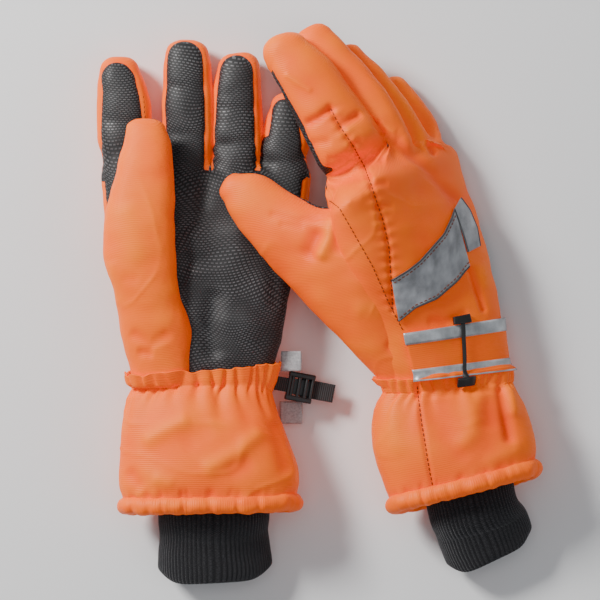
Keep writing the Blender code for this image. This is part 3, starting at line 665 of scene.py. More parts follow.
RIGHT_BACK_FOLDS = [
    Fold([(-0.0200, 0.1350), (-0.0120, 0.1290), (-0.0040, 0.1240)], -0.0009, 0.0016),
    Fold([(-0.0090, 0.1040), (0.0000, 0.1085), (0.0085, 0.1150)], 0.0024, 0.0026),
    Fold([(0.0110, 0.1045), (0.0180, 0.1070), (0.0260, 0.1120)], 0.0024, 0.0026),
    Fold([(-0.0060, 0.0930), (0.0080, 0.0950)], 0.0012, 0.0030),
    Fold([(0.0170, 0.0930), (0.0270, 0.0960)], 0.0012, 0.0030),
    Fold([(0.0040, 0.0830), (0.0200, 0.0860)], 0.0012, 0.0028),
    Fold([(0.0250, 0.0830), (0.0400, 0.0850)], 0.0013, 0.0028),
    Fold([(0.0080, 0.0690), (0.0260, 0.0740)], 0.0010, 0.0028),
    Fold([(0.0300, 0.0690), (0.0420, 0.0700)], 0.0011, 0.0026),
    Fold([(0.0320, 0.0560), (0.0450, 0.0560)], 0.0009, 0.0026),
    Fold([(0.0440, 0.0965), (0.0620, 0.0820), (0.0760, 0.0680), (0.0860, 0.0600)], 0.0016, 0.0034),
    Fold([(0.0400, 0.0990), (0.0330, 0.1080)], 0.0022, 0.0022),
    Fold([(0.0705, 0.0870), (0.0660, 0.0960)], 0.0020, 0.0022),
    Fold([(0.0350, 0.1050), (0.0470, 0.1000)], -0.0012, 0.0026),
    Fold([(0.0640, -0.0120), (0.0760, -0.0130), (0.0900, -0.0060)], 0.0012, 0.0032),
    Fold([(0.0900, 0.0215), (0.0950, 0.0080), (0.0990, -0.0070)], 0.0022, 0.0019),
    Fold([(0.0980, 0.0240), (0.1010, 0.0060)], -0.0010, 0.0040),
]
BACK_SEAM = [(0.0069, 0.1152), (0.0111, 0.1056), (0.0213, 0.0906), (0.0273, 0.0798), (0.0315, 0.0666),
             (0.0381, 0.0474), (0.0417, 0.0312), (0.0429, 0.0120), (0.0441, -0.0060)]
SEAM_DEPTH = 0.0013
SEAM_WIDTH = 0.0016


def padded_hand(side):
    """The closed bag of a hand and four fingers, not creased yet, with each point's place stored."""
    hand_rows = slice_rows(HAND[side])
    finger_rows = {f: slice_rows(FINGER[side][f]) for f in FINGERS}
    parts = [closed_tube(side + "_bag", hand_rows)]
    shifted = {}
    for finger, rows in finger_rows.items():
        run = run_along(rows.centre)
        shift = smoothstep((run - SPREAD_FROM[side]) / SPREAD_OVER)[:, None] * np.array(SPREAD[side][finger])
        parts.append(closed_tube(finger, rows, TIP[side][finger], shift))
        shifted[finger] = rows._replace(centre=rows.centre + shift)
    bag = joined(side + "_bag", parts)
    apply_modifier(bag, "REMESH", mode="VOXEL", voxel_size=VOXEL)
    mesh = bag.data
    relax(mesh, 14)
    points = points_of(mesh)
    owner = np.zeros(len(points), int)
    gap = np.full(len(points), 1e9)
    place = np.zeros((len(points), 3))
    for number, finger in enumerate(FINGERS):
        rows = shifted[finger]
        near, local = local_places(points, rows)
        size = np.column_stack([local[:, 1] / rows.half[near], local[:, 2] / rows.rise[near]])
        reach = np.linalg.norm(size, axis=1) + np.maximum(-local[:, 0], 0) / 0.01
        closer = reach < gap
        owner[closer] = number
        gap[closer] = reach[closer]
        place[closer] = local[closer]
    weight = smoothstep((place[:, 0] - SPREAD_FROM[side]) / SPREAD_OVER)
    moves = np.array([SPREAD[side][f] for f in FINGERS])
    points = points - weight[:, None] * moves[owner]
    set_points(mesh, points)
    relax(mesh, 2)
    store(mesh, "digit", owner)
    store(mesh, "along", place[:, 0])
    store(mesh, "lateral", place[:, 1])
    store(mesh, "rising", place[:, 2])
    apply_modifier(bag, "SUBSURF", levels=1, render_levels=1)
    return bag, hand_rows, finger_rows


def carried_over(line):
    """A line over the right hand, seen from above, at the same place over the left hand."""
    here, there = slice_rows(HAND["right"]), slice_rows(HAND["left"])
    runs = [run_along(rows.centre[:, :2]) for rows in (here, there)]
    moved = []
    for point in np.array(line, float):
        near = np.linalg.norm(here.centre[:, :2] - point, axis=1).argmin()
        off = point - here.centre[near, :2]
        way = here.along[near, :2] / np.linalg.norm(here.along[near, :2])
        cross = here.across[near, :2] / np.linalg.norm(here.across[near, :2])
        share = (off @ cross) / (here.half[near] * np.linalg.norm(here.across[near, :2]))
        run = runs[0][near] + off @ way
        row = np.abs(runs[1] - run).argmin()
        target = there.centre[row, :2] + there.across[row, :2] * there.half[row] * min(share, 0.94)
        moved.append((target[0], there.centre[row, 1] + (run - runs[1][row])))
    return moved


GRIP_REACH = 0.80  # share of a finger's half width that its grip covers
GRIP_OFF_MIDDLE = {"left": -0.0014, "right": -0.0020}
GRIP_SHOWN_OFF_MIDDLE = -0.0035
GRIP_TIP_MARGIN = 0.0008
PALM_MARGIN = 0.0045
PALM_FAR_MARGIN = {"left": 0.0045, "right": 0.0130}
PALM_FROM = 0.015  # along the hand
PALM_TO = {"left": 0.134, "right": 0.128}
GRIP_SIDE_MARGIN = 0.0006  # the grip ends this far above the middle of the cloth's side
GRIP_FACING = 0.15  # the grip ends where the cloth faces its palm side less than this
SHOWN_FACING = -0.50  # the same, along the forefinger's edge that shows
EDGE_PER_FACING = 0.005  # metres
FAR_OUTSIDE = 0.02
JOINED_SEAM_DEPTH = 0.0007
JOINED_SEAM_WIDTH = 0.0011


def grip_edge(side, points, normals, stored, hand_rows, finger_rows):
    """How far each point is outside the grip fabric (below zero inside it)."""
    facing = PALM_UP[side]
    outside = np.full(len(points), FAR_OUTSIDE)
    for number, finger in enumerate(FINGERS):
        rows = finger_rows[finger]
        length = np.linalg.norm(np.diff(rows.centre, axis=0), axis=1).sum()
        run = np.linspace(0, length, len(rows.half))
        shows = side == "right" and finger == "index"  # its grip shows along one edge
        half = np.interp(stored["along"], run, rows.half)
        reach = half * (1.0 if shows else GRIP_REACH)
        end = length + TIP[side][finger] - reach - GRIP_TIP_MARGIN
        past = np.maximum(stored["along"] - end, 0)
        middle = GRIP_SHOWN_OFF_MIDDLE if shows else GRIP_OFF_MIDDLE[side]
        edge = np.hypot(stored["lateral"] - middle, past) - reach
        limit = np.full(len(points), GRIP_FACING)
        if shows:
            limit[(stored["lateral"] < 0) & (stored["along"] > ROOT_CUT[side])] = SHOWN_FACING
        if side == "right":
            edge = np.maximum(edge, (limit - normals[:, 2] * facing) * EDGE_PER_FACING)
        else:
            edge = np.maximum(edge, GRIP_SIDE_MARGIN - stored["rising"] * facing)
        mine = np.round(stored["digit"]) == number
        outside = np.where(mine, edge, outside)
    near, local = local_places(points, hand_rows)
    palm = np.maximum.reduce([
        np.maximum(local[:, 1] + PALM_FAR_MARGIN[side], PALM_MARGIN - local[:, 1]) - hand_rows.half[near],
        PALM_FROM - local[:, 0],
        local[:, 0] - PALM_TO[side],
        GRIP_SIDE_MARGIN - local[:, 2] * facing,
        (GRIP_FACING - normals[:, 2] * facing) * EDGE_PER_FACING,
    ])
    return np.minimum(outside, palm)


def cut_at_zero(mesh, names):
    """The mesh cut along the lines where each stored value is zero, as points, faces and values."""
    bm = bmesh.new()
    bm.from_mesh(mesh)
    layers = {key: bm.verts.layers.float[key] for key in bm.verts.layers.float.keys()}
    for name in names:
        layer = layers[name]
        for vert in bm.verts:
            if abs(vert[layer]) < 1e-6:
                vert[layer] = 1e-6
        fresh = set()
        for edge in list(bm.edges):
            a, b = edge.verts
            start, end = a[layer], b[layer]
            if start * end < 0:
                t = start / (start - end)
                mixed = {k: a[l] * (1 - t) + b[l] * t for k, l in layers.items()}
                vert = bmesh.utils.edge_split(edge, a, t)[1]
                for key, value in mixed.items():
                    vert[layers[key]] = value
                vert[layer] = 0.0
                fresh.add(vert)
        for face in list(bm.faces):
            on_line = [v for v in face.verts if v in fresh]
            if len(on_line) in (2, 4):
                bmesh.utils.face_split(face, on_line[0], on_line[1])
            if len(on_line) == 4:
                other = [f for f in on_line[2].link_faces if on_line[3] in f.verts]
                if other:
                    bmesh.utils.face_split(other[0], on_line[2], on_line[3])
    bm.verts.index_update()
    points = np.array([v.co for v in bm.verts])
    faces = [[v.index for v in f.verts] for f in bm.faces]
    values = {k: np.array([v[l] for v in bm.verts]) for k, l in layers.items()}
    bm.free()
    return points, faces, values


def cloth_piece(name, points, faces, values, material):
    """One piece of a cut cloth, shaded as the whole was, with its pattern's flat places."""
    used = np.unique(np.concatenate([np.array(f) for f in faces]))
    place = np.full(len(points), -1)
    place[used] = np.arange(len(used))
    mesh = bpy.data.meshes.new(name)
    mesh.from_pydata([tuple(p) for p in points[used]], [], [[int(place[i]) for i in f] for f in faces])
    flat = np.column_stack([values["flat_u"][used], values["flat_v"][used]])
    owners = np.empty(len(mesh.loops), int)
    mesh.loops.foreach_get("vertex_index", owners)
    mesh.uv_layers.new(name="cloth").data.foreach_set("uv", flat[owners].ravel())
    store(mesh, "relief", values["relief"][used])
    mesh.shade_smooth()
    normals = np.column_stack([values[k][used] for k in ("way_x", "way_y", "way_z")])
    mesh.normals_split_custom_set_from_vertices([tuple(n) for n in normals])
    mesh.materials.append(material)
    return placed(name, mesh)


CLOTH_HEADING = {"left": 90.0, "right": 112.0}  # which way each glove's cloth runs
RIPPLE = 0.55  # how much the rows of the pattern shift with the cloth's height


def flat_places(points, side):
    """The cloth pattern's flat place at each point: across the glove and along it."""
    turn = math.radians(CLOTH_HEADING[side])
    along = points[:, 0] * math.cos(turn) + points[:, 1] * math.sin(turn)
    across = points[:, 0] * math.sin(turn) - points[:, 1] * math.cos(turn)
    return across, along + RIPPLE * points[:, 2]


def lay_cloth(mesh, depth, side):
    """Sinks the cloth by depth along its normals, and stores what its pieces need."""
    set_points(mesh, rest_on_floor(points_of(mesh) - points_of(mesh, "normal") * depth[:, None]))
    points, normals = points_of(mesh), points_of(mesh, "normal")
    across, along = flat_places(points, side)
    # The depth, stored as relief, later paints the orange colour: painted shade in folds and seams, painted
    # highlight on crests.
    for key, value in (("relief", -depth), ("flat_u", across), ("flat_v", along),
                       ("way_x", normals[:, 0]), ("way_y", normals[:, 1]), ("way_z", normals[:, 2])):
        store(mesh, key, value)


def surface_of(*meshes):
    """A tree of the outer surface of closed cloth, for laying things on it."""
    points, faces = [], []
    for mesh in meshes:
        faces += [[i + len(points) for i in p.vertices] for p in mesh.polygons]
        points += [v.co.copy() for v in mesh.vertices]
    return BVHTree.FromPolygons(points, faces)


joint_of = {joint["name"]: joint for joint in frame["joints"]}
BEND_RUN = 0.010  # the cloth bends over this much before and after a knuckle


def bend_at_knuckle(piece, side, digit):
    """The piece follows the hand up to the knuckle and the digit's tip beyond it."""
    joint = joint_of[f"{side}_{digit}_fold"]
    knuckle = Vector(joint["pos_m"])
    slices = FINGER[side][digit] if digit in FINGER[side] else THUMB[side]
    way = slice_rows(slices).along[-8]
    heading = Vector((way[0], way[1], 0)).normalized()
    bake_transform(piece, side + "_hand", f"{side}_{digit}_tip",
             start=knuckle - heading * BEND_RUN, end=knuckle + heading * BEND_RUN)


BACK_FOLDS_ON_BOTH = 14  # the first folds of the right back are on the left one too
PALM_FOLDS_ON_BOTH = 5
MIRROR_SHRINK = 0.8
MIRROR_SHIFT = 0.115  # metres, from a fold of the left palm to the same fold of the right one
SEAM_PUCKER = 0.0005
SEAM_PUCKER_WIDTH = 0.005
PUCKER_PITCH = 0.0065
stitch_lines = {side: [] for side in SIDES}
hand_meshes = {}
for side in SIDES:
    bag, hand_rows, finger_rows = padded_hand(side)
    mesh = bag.data
    points, normals = points_of(mesh), points_of(mesh, "normal")
    back_seam = BACK_SEAM if side == "right" else carried_over(BACK_SEAM)
    folds = RIGHT_BACK_FOLDS if side == "right" else [
        fold._replace(line=carried_over(fold.line)) for fold in RIGHT_BACK_FOLDS[:BACK_FOLDS_ON_BOTH]]
    depth = fold_depths(points, normals, folds, -PALM_UP[side])
    if side == "left":
        depth += fold_depths(points, normals, LEFT_PALM_FOLDS, 1)
    else:
        mirrored = [fold._replace(line=[(x * MIRROR_SHRINK + MIRROR_SHIFT, y) for x, y in fold.line])
                    for fold in LEFT_PALM_FOLDS[:PALM_FOLDS_ON_BOTH]]
        depth += fold_depths(points, normals, mirrored, -1)
    depth += 0.0008 * crumple(points, 55.0, (1, 1.6, 1), 3.0) + 0.0012 * crumple(points, 24.0, seed=9.0)
    depth -= 0.0004 * creases(points, 20.0, (1.0, 1.8, 1.0), 31.0)
    gap, share, length = line_places(points, back_seam)
    on_back = smoothstep(-normals[:, 2] * PALM_UP[side] * 3)
    depth += SEAM_DEPTH * np.exp(-(gap / SEAM_WIDTH) ** 2) * on_back
    depth += SEAM_PUCKER * np.sin(share * length / PUCKER_PITCH * math.tau) * np.exp(
        -(gap / SEAM_PUCKER_WIDTH) ** 2) * on_back
    stored = {k: read(mesh, k) for k in ("digit", "along", "lateral", "rising")}
    edge = grip_edge(side, points, normals, stored, hand_rows, finger_rows)
    depth += JOINED_SEAM_DEPTH * np.exp(-(edge / JOINED_SEAM_WIDTH) ** 2)
    store(mesh, "grip_edge", edge)
    store(mesh, "root_edge", stored["along"] - ROOT_CUT[side])
    lay_cloth(mesh, depth, side)
    hand_meshes[side] = mesh
    cut_points, faces, values = cut_at_zero(mesh, ["grip_edge", "root_edge"])
    groups = {}
    for face in faces:
        grip = sum(values["grip_edge"][face]) < 0
        out = sum(values["root_edge"][face]) > 0
        digit = FINGERS[int(round(np.median(values["digit"][face])))] if out else "hand"
        groups.setdefault((digit, grip), []).append(face)
    for (digit, grip), members in groups.items():
        kind = "grip" if grip else "shell"
        material = GRIP_FABRIC if grip else ORANGE_CLOTH
        piece = cloth_piece(f"{side}_{digit}_{kind}_cloth", cut_points, members, values, material)
        if digit == "hand":
            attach(piece, side + "_hand")
            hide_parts(side + ("_palm_grip" if grip else "_hand_back"))
        else:
            bend_at_knuckle(piece, side, digit)
            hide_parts(f"{side}_{digit}_{kind}")
    bpy.data.objects.remove(bag)
    stitch_lines[side].append(("back_seam", back_seam, -PALM_UP[side]))

# ---------------------------------------------------------------- thumbs
# Each thumb is a padded bag of its own, sewn to the hand along one long edge. The left one lies
# over its palm, and the right one reaches out from under the hand. Grip fabric faces the palm.

THUMB = {
    "left": [
        Slice(-0.1115, -0.0500, -0.0770, -0.0480, 0.0290, 0.0105, 0),
        Slice(-0.1135, -0.0400, -0.0768, -0.0380, 0.0320, 0.0125, 0),
        Slice(-0.1192, -0.0162, -0.0755, -0.0162, 0.0358, 0.0138, 0),
        Slice(-0.1218, 0.0036, -0.0832, 0.0036, 0.0400, 0.0138, 0),
        Slice(-0.1284, 0.0252, -0.0858, 0.0252, 0.0440, 0.0130, 0),
        Slice(-0.1272, 0.0510, -0.0857, 0.0510, 0.0465, 0.0122, 0),
        Slice(-0.1213, 0.0756, -0.0863, 0.0756, 0.0468, 0.0115, 0),
        Slice(-0.1170, 0.0930, -0.0885, 0.0930, 0.0455, 0.0104, 0),
        Slice(-0.1146, 0.1025, -0.0920, 0.1025, 0.0445, 0.0088, 0),
    ],
    "right": [
        Slice(0.0387, -0.0490, 0.0600, -0.0480, 0.0300, 0.0110, -8),
        Slice(0.0312, -0.0408, 0.0530, -0.0200, 0.0365, 0.0135, -18),
        Slice(0.0125, -0.0195, 0.0430, 0.0005, 0.0430, 0.0150, -25),
        Slice(0.0016, -0.0095, 0.0335, 0.0205, 0.0475, 0.0155, -28),
        Slice(-0.0128, 0.0049, 0.0238, 0.0372, 0.0500, 0.0150, -26),
        Slice(-0.0260, 0.0174, 0.0140, 0.0535, 0.0505, 0.0142, -20),
        Slice(-0.0344, 0.0270, -0.0010, 0.0570, 0.0495, 0.0135, -12),
        Slice(-0.0446, 0.0390, -0.0166, 0.0648, 0.0478, 0.0125, -5),
        Slice(-0.0530, 0.0515, -0.0334, 0.0750, 0.0462, 0.0112, 0),
        Slice(-0.0566, 0.0600, -0.0475, 0.0755, 0.0455, 0.0095, 0),
    ],
}
THUMB_TIP = {"left": 0.0066, "right": 0.0060}
THUMB_GRIP_REACH = 0.86
THUMB_GRIP_OFF_MIDDLE = {"left": 0.0022, "right": 0.0034}
THUMB_GRIP_FROM = {"left": 0.030, "right": 0.055}
THUMB_FOLDS = {
    "left": [
        Fold([(-0.1130, -0.0180), (-0.1000, -0.0260), (-0.0880, -0.0180)], 0.0010, 0.0035),
        Fold([(-0.1090, -0.0300), (-0.0980, -0.0320)], 0.0012, 0.0030),
        Fold([(-0.1240, 0.0250), (-0.1210, -0.0050)], -0.0009, 0.0040),
        Fold([(-0.1180, 0.0150), (-0.1060, 0.0120)], 0.0006, 0.0040),
        Fold([(-0.1150, 0.0600), (-0.1060, 0.0200)], -0.0008, 0.0070),
    ],
    "right": [
        Fold([(0.0085, 0.0500), (0.0060, 0.0380), (0.0000, 0.0240)], -0.0026, 0.0040),
        Fold([(0.0010, 0.0440), (-0.0040, 0.0330), (-0.0080, 0.0240)], 0.0026, 0.0050),
        Fold([(0.0140, 0.0400), (0.0120, 0.0260)], 0.0014, 0.0040),
        Fold([(-0.0300, 0.0520), (-0.0120, 0.0480), (0.0020, 0.0500)], 0.0007, 0.0024),
        Fold([(-0.0240, 0.0460), (-0.0080, 0.0440)], 0.0006, 0.0022),
        Fold([(0.0180, -0.0060), (0.0300, -0.0060)], -0.0008, 0.0060),
        Fold([(0.0400, -0.0300), (0.0470, -0.0230)], 0.0012, 0.0030),
    ],
}
THUMB_VOXEL = 0.0019
THUMB_TIP_MARGIN = 0.003
THUMB_SIDE_MARGIN = 0.0004
for side in SIDES:
    rows = slice_rows(THUMB[side])
    bag = closed_tube(side + "_thumb_bag", rows, THUMB_TIP[side])
    apply_modifier(bag, "REMESH", mode="VOXEL", voxel_size=THUMB_VOXEL)
    relax(bag.data, 10)
    apply_modifier(bag, "SUBSURF", levels=1, render_levels=1)
    mesh = bag.data
    points, normals = points_of(mesh), points_of(mesh, "normal")
    near, local = local_places(points, rows)
    depth = fold_depths(points, normals, THUMB_FOLDS[side], 1)
    depth += 0.0007 * crumple(points, 60.0, (1, 1.5, 1), 5.0) + 0.0010 * crumple(points, 26.0, seed=4.0)
    depth -= 0.0003 * creases(points, 21.0, (1.7, 1.0, 1.0), 41.0)
    length = np.linalg.norm(np.diff(rows.centre, axis=0), axis=1).sum()
    reach = rows.half[near] * THUMB_GRIP_REACH
    past = np.maximum(local[:, 0] - (length + THUMB_TIP[side] - reach - THUMB_TIP_MARGIN), 0)
    edge = np.maximum.reduce([
        np.hypot(local[:, 1] - THUMB_GRIP_OFF_MIDDLE[side], past) - reach,
        THUMB_GRIP_FROM[side] - local[:, 0],
        local[:, 2] + THUMB_SIDE_MARGIN,
    ])
    depth += JOINED_SEAM_DEPTH * np.exp(-(edge / JOINED_SEAM_WIDTH) ** 2)
    store(mesh, "grip_edge", edge)
    lay_cloth(mesh, depth, side)
    thumb_points, faces, values = cut_at_zero(mesh, ["grip_edge"])
    for grip, kind in ((True, "grip"), (False, "shell")):
        members = [f for f in faces if (sum(values["grip_edge"][f]) < 0) == grip]
        piece = cloth_piece(f"{side}_thumb_{kind}_cloth", thumb_points, members, values,
                            GRIP_FABRIC if grip else ORANGE_CLOTH)
        bend_at_knuckle(piece, side, "thumb")
        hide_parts(f"{side}_thumb_{kind}")
    hand_meshes[side] = [hand_meshes[side], mesh]
    bpy.data.objects.remove(bag)
surfaces = {side: surface_of(*hand_meshes[side]) for side in SIDES}

# ---------------------------------------------------------------- cuffs
# Each gauntlet cuff is one tube of the orange cloth. An elastic inside the wrist gathers it into
# deep puckers that run out into soft folds, and its top edge stands up as a small ruffle.

CUFF = {
    "left": [
        Slice(-0.1180, -0.1190, -0.0125, -0.1165, 0.0245, 0.0225, 0),
        Slice(-0.1200, -0.1100, -0.0130, -0.1090, 0.0252, 0.0240, 0),
        Slice(-0.1208, -0.0985, -0.0142, -0.0980, 0.0254, 0.0248, 0),
        Slice(-0.1198, -0.0834, -0.0185, -0.0834, 0.0252, 0.0242, 0),
        Slice(-0.1185, -0.0700, -0.0234, -0.0700, 0.0245, 0.0226, 0),
        Slice(-0.1155, -0.0590, -0.0275, -0.0585, 0.0238, 0.0198, 0),
        Slice(-0.1112, -0.0510, -0.0292, -0.0500, 0.0235, 0.0165, 0),
        Slice(-0.1118, -0.0455, -0.0288, -0.0425, 0.0242, 0.0172, 0),
        Slice(-0.1128, -0.0430, -0.0284, -0.0375, 0.0245, 0.0180, 0),
    ],
    "right": [
        Slice(0.0415, -0.1195, 0.1310, -0.0960, 0.0250, 0.0222, 0),
        Slice(0.0375, -0.1060, 0.1300, -0.0860, 0.0254, 0.0238, 0),
        Slice(0.0340, -0.0924, 0.1278, -0.0762, 0.0255, 0.0244, 1),
        Slice(0.0322, -0.0744, 0.1236, -0.0624, 0.0256, 0.0236, 3),
        Slice(0.0336, -0.0625, 0.1190, -0.0540, 0.0260, 0.0212, 5),
        Slice(0.0372, -0.0565, 0.1155, -0.0492, 0.0264, 0.0188, 7),
        Slice(0.0392, -0.0525, 0.1136, -0.0462, 0.0268, 0.0176, 8),
        Slice(0.0388, -0.0490, 0.1134, -0.0430, 0.0272, 0.0180, 9),
        Slice(0.0382, -0.0462, 0.1132, -0.0405, 0.0275, 0.0184, 10),
    ],
}
CUFF_POINTS = 288
CUFF_ROWS = 9
PUCKER_DEPTH = 0.0062
RUFFLE = 0.0010
CUFF_THICKNESS = 0.0010
CUFF_GAP = 0.0003
PUFF = 0.0024  # how far the gathered cloth stands off between its pleats
ELASTIC_AT = {"left": 0.0695, "right": 0.0640}  # along the cuff from its hem
CUFF_FOLDS = {
    "left": [
        Fold([(-0.1060, -0.0850), (-0.0900, -0.0760), (-0.0760, -0.0700)], -0.0016, 0.0045),
        Fold([(-0.0840, -0.0860), (-0.0620, -0.0740)], 0.0014, 0.0080),
        Fold([(-0.0700, -0.1020), (-0.0480, -0.0900), (-0.0330, -0.0760)], -0.0018, 0.0050),
        Fold([(-0.0560, -0.1040), (-0.0380, -0.0940)], 0.0012, 0.0060),
        Fold([(-0.1150, -0.1000), (-0.1040, -0.1130)], 0.0016, 0.0045),
        Fold([(-0.0260, -0.0700), (-0.0190, -0.1050)], 0.0014, 0.0050),
        Fold([(-0.1000, -0.1050), (-0.0850, -0.1100)], -0.0010, 0.0040),
    ],
    "right": [
        Fold([(0.1080, -0.0500), (0.1120, -0.0660), (0.1150, -0.0860)], 0.0026, 0.0034),
        Fold([(0.1130, -0.0470), (0.1170, -0.0700)], -0.0020, 0.0040),
        Fold([(0.0700, -0.0540), (0.0760, -0.0800), (0.0900, -0.0960)], 0.0014, 0.0070),
        Fold([(0.0940, -0.0530), (0.0920, -0.0780), (0.0820, -0.0900)], -0.0018, 0.0060),
        Fold([(0.1000, -0.0560), (0.1040, -0.0780)], 0.0016, 0.0060),
        Fold([(0.0450, -0.0600), (0.0470, -0.0950)], -0.0014, 0.0080),
        Fold([(0.0980, -0.0980), (0.1220, -0.0860)], -0.0010, 0.0050),
    ],
}
CUFF_SEAM_DEPTH = 0.0012
CUFF_SEAM_WIDTH = 0.0014
PLEAT_SEED = {"left": 5, "right": 8}
RUFFLE_SEED = {"left": 3.0, "right": 9.0}
RUFFLE_TURNS = 6.0
WRIST_RADIUS = 0.034
UNDER_CUFF = 0.020  # the cuff is kept off the hand this far past its elastic
CUFF_SEAM = [(0.0588, -0.0500), (0.0610, -0.0700), (0.0650, -0.0950), (0.0690, -0.1160)]


def ring_points(rows, count=CUFF_POINTS, roundness=2.2):
    cross, rise = oval(count, roundness)
    return (rows.centre[:, None] + (cross * rows.half[:, None])[..., None] * rows.across[:, None]
            + (rise * rows.rise[:, None])[..., None] * rows.up[:, None])


def noise_round(turn, scale, seed):
    """Smooth noise round a ring, from -1 to 1."""
    places = [Vector((math.cos(t) * scale, math.sin(t) * scale, seed)) for t in turn]
    return np.array([noise.noise(place) for place in places]) * 2


def pleats(turn, past, radius, seed):
    """How far the elastic draws the cuff in, by angle and by distance past it towards the hem."""
    random = np.random.default_rng(seed)
    count = 30
    where = (np.arange(count) + random.uniform(-0.34, 0.34, count)) * math.tau / count
    deep = random.uniform(0.45, 1.0, count) * PUCKER_DEPTH
    reach = random.choice([0.006, 0.009, 0.013, 0.030], count, p=[0.3, 0.3, 0.25, 0.15])
    drift = random.uniform(-5.0, 5.0, count)
    total = np.zeros(len(turn))
    for angle, depth, length, lean in zip(where, deep, reach, drift):
        width = 0.0012 + 0.13 * max(past, 0.0) + 0.05 * max(-past, 0.0)
        gap = (turn - angle - lean * past + math.pi) % math.tau - math.pi
        fade = math.exp(-past / length) if past > 0 else math.exp(past / 0.0075)
        total += depth * fade * np.exp(-(gap * radius / width) ** 2)
    return total


rims = {}
for side in SIDES:
    rows = slice_rows(CUFF[side], CUFF_ROWS)
    rings = ring_points(rows)
    count = len(rings)
    run = run_along(rows.centre)
    turn = np.arange(CUFF_POINTS) * math.tau / CUFF_POINTS
    for r in range(count):
        past = ELASTIC_AT[side] - run[r]  # towards the hem from the elastic
        inward = pleats(turn, past, WRIST_RADIUS, PLEAT_SEED[side])
        near_elastic = math.exp(-max(past, 0) / 0.013)
        middle = rows.centre[r]
        out = rings[r] - middle
        out = unit(out)
        reach = np.linalg.norm(rings[r] - middle, axis=1)
        under = np.zeros(CUFF_POINTS)
        if past < UNDER_CUFF:
            for c in range(CUFF_POINTS):
                hit = surfaces[side].ray_cast(Vector(middle + out[c] * 0.09), Vector(-out[c]))[0]
                if hit is not None:
                    under[c] = (hit - Vector(middle)).length + CUFF_THICKNESS + CUFF_GAP
        puffed = np.maximum(reach, under + PUFF * near_elastic)
        puffed = np.maximum(puffed - inward, under)
        rings[r] = middle + out * puffed[:, None]
        if past < -0.001:
            flare = RUFFLE * noise_round(turn, RUFFLE_TURNS, RUFFLE_SEED[side])
            rings[r] += rows.along[r] * flare[:, None] * min(-past / 0.004, 1.0)
    lengths = np.linalg.norm(rings[count // 2] - np.roll(rings[count // 2], 1, axis=0), axis=1)
    around_at = np.concatenate([np.cumsum(lengths), [lengths.sum() + lengths[0]]])
    cuff = grid_mesh(side + "_cuff_cloth", rings, caps=False, flip=True,
                     uv=lambda r, c: (around_at[c], run[r]))
    mesh = cuff.data
    points, normals = points_of(mesh), points_of(mesh, "normal")
    depth = fold_depths(points, normals, CUFF_FOLDS[side], 1)
    if side == "right":
        gap = line_places(points, CUFF_SEAM)[0]
        top = smoothstep(normals[:, 2] * 3)
        depth += CUFF_SEAM_DEPTH * np.exp(-(gap / CUFF_SEAM_WIDTH) ** 2) * top
        stitch_lines[side].append(("cuff_seam", CUFF_SEAM, 1))
    depth += 0.0016 * crumple(points, 30.0, (1, 1.4, 1), 7.0)
    depth -= 0.0005 * creases(points, 22.0, (1.0, 1.9, 1.0), 12.0)
    above_hem = np.linalg.norm(points[:, None, :2] - points[None, :CUFF_POINTS:12, :2], axis=2).min(1)
    hem_pucker = noise_round(np.arctan2(points[:, 2] - 0.025, points[:, 0] - points[:, 0].mean()), 9.0, 2.0)
    depth += (0.0010 + 0.0009 * hem_pucker) * np.exp(-(above_hem / 0.0035) ** 2)
    set_points(mesh, rest_on_floor(points - normals * depth[:, None]))
    # The relief paints the cuff's colour: painted shade in its puckers, folds and the groove above the hem,
    # painted highlight on the crests.
    store(mesh, "relief", -depth)
    rims[side] = points_of(mesh)[:CUFF_POINTS].copy()
    apply_modifier(cuff, "SOLIDIFY", thickness=CUFF_THICKNESS, offset=-1)
    mesh.materials.append(ORANGE_CLOTH)
    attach(cuff, side + "_hand")
    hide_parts(side + "_cuff_shell")

# ---------------------------------------------------------------- hems
# The cuff's edge is rolled over a cord and stitched, so it stands out as a round bead with small
# puckers and a stitched groove above it.

HEM_RADIUS = 0.0056
HEM_SIDES = 18
HEM_PUCKER = 0.0008
HEM_LEAN = 0.16  # how much the lower layer of the hem reaches past the upper one


def face_outwards(mesh, merge=0.0):
    """Merges points that are closer than merge, and turns the faces outwards."""
    bm = bmesh.new()
    bm.from_mesh(mesh)
    if merge:
        bmesh.ops.remove_doubles(bm, verts=bm.verts, dist=merge)
    bmesh.ops.recalc_face_normals(bm, faces=bm.faces)
    bm.to_mesh(mesh)
    bm.free()


for side in SIDES:
    rim = rims[side]
    middle = rim.mean(0)
    ahead = np.roll(rim, -3, axis=0) - np.roll(rim, 3, axis=0)
    ahead = unit(ahead)
    down = -slice_rows(CUFF[side]).along[0]
    out = np.cross(ahead, down)
    out *= np.sign((out * (rim - middle)).sum(1))[:, None]
    low = down - ahead * (ahead @ down)[:, None]
    low = unit(low)
    drop = HEM_RADIUS * 0.75 + HEM_LEAN * np.maximum(middle[2] - rim[:, 2], -0.01)
    centres = rim + low * drop[:, None] - out * HEM_RADIUS * 0.35
    rings = []
    for k in range(HEM_SIDES):
        angle = math.tau * k / HEM_SIDES
        wobble = np.array([noise.noise(Vector((*(p * 230.0)[:2], k * 0.25))) for p in rim])
        size = HEM_RADIUS + HEM_PUCKER * wobble
        rings.append(centres + (out * math.cos(angle) + low * math.sin(angle)) * size[:, None])
    rings.append(rings[0])
    step = np.linalg.norm(np.roll(centres, -1, axis=0) - centres, axis=1)
    at = np.concatenate([[0], np.cumsum(step)])
    hem = grid_mesh(side + "_hem_cloth", rings, caps=False,
                    uv=lambda r, c: (r * math.tau * HEM_RADIUS / HEM_SIDES, at[c]))
    face_outwards(hem.data, merge=0.00001)
    set_points(hem.data, rest_on_floor(points_of(hem.data)))
    hem.data.shade_smooth()
    hem.data.materials.append(ORANGE_CLOTH)
    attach(hem, side + "_hand")
    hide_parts(side + "_cuff_hem")
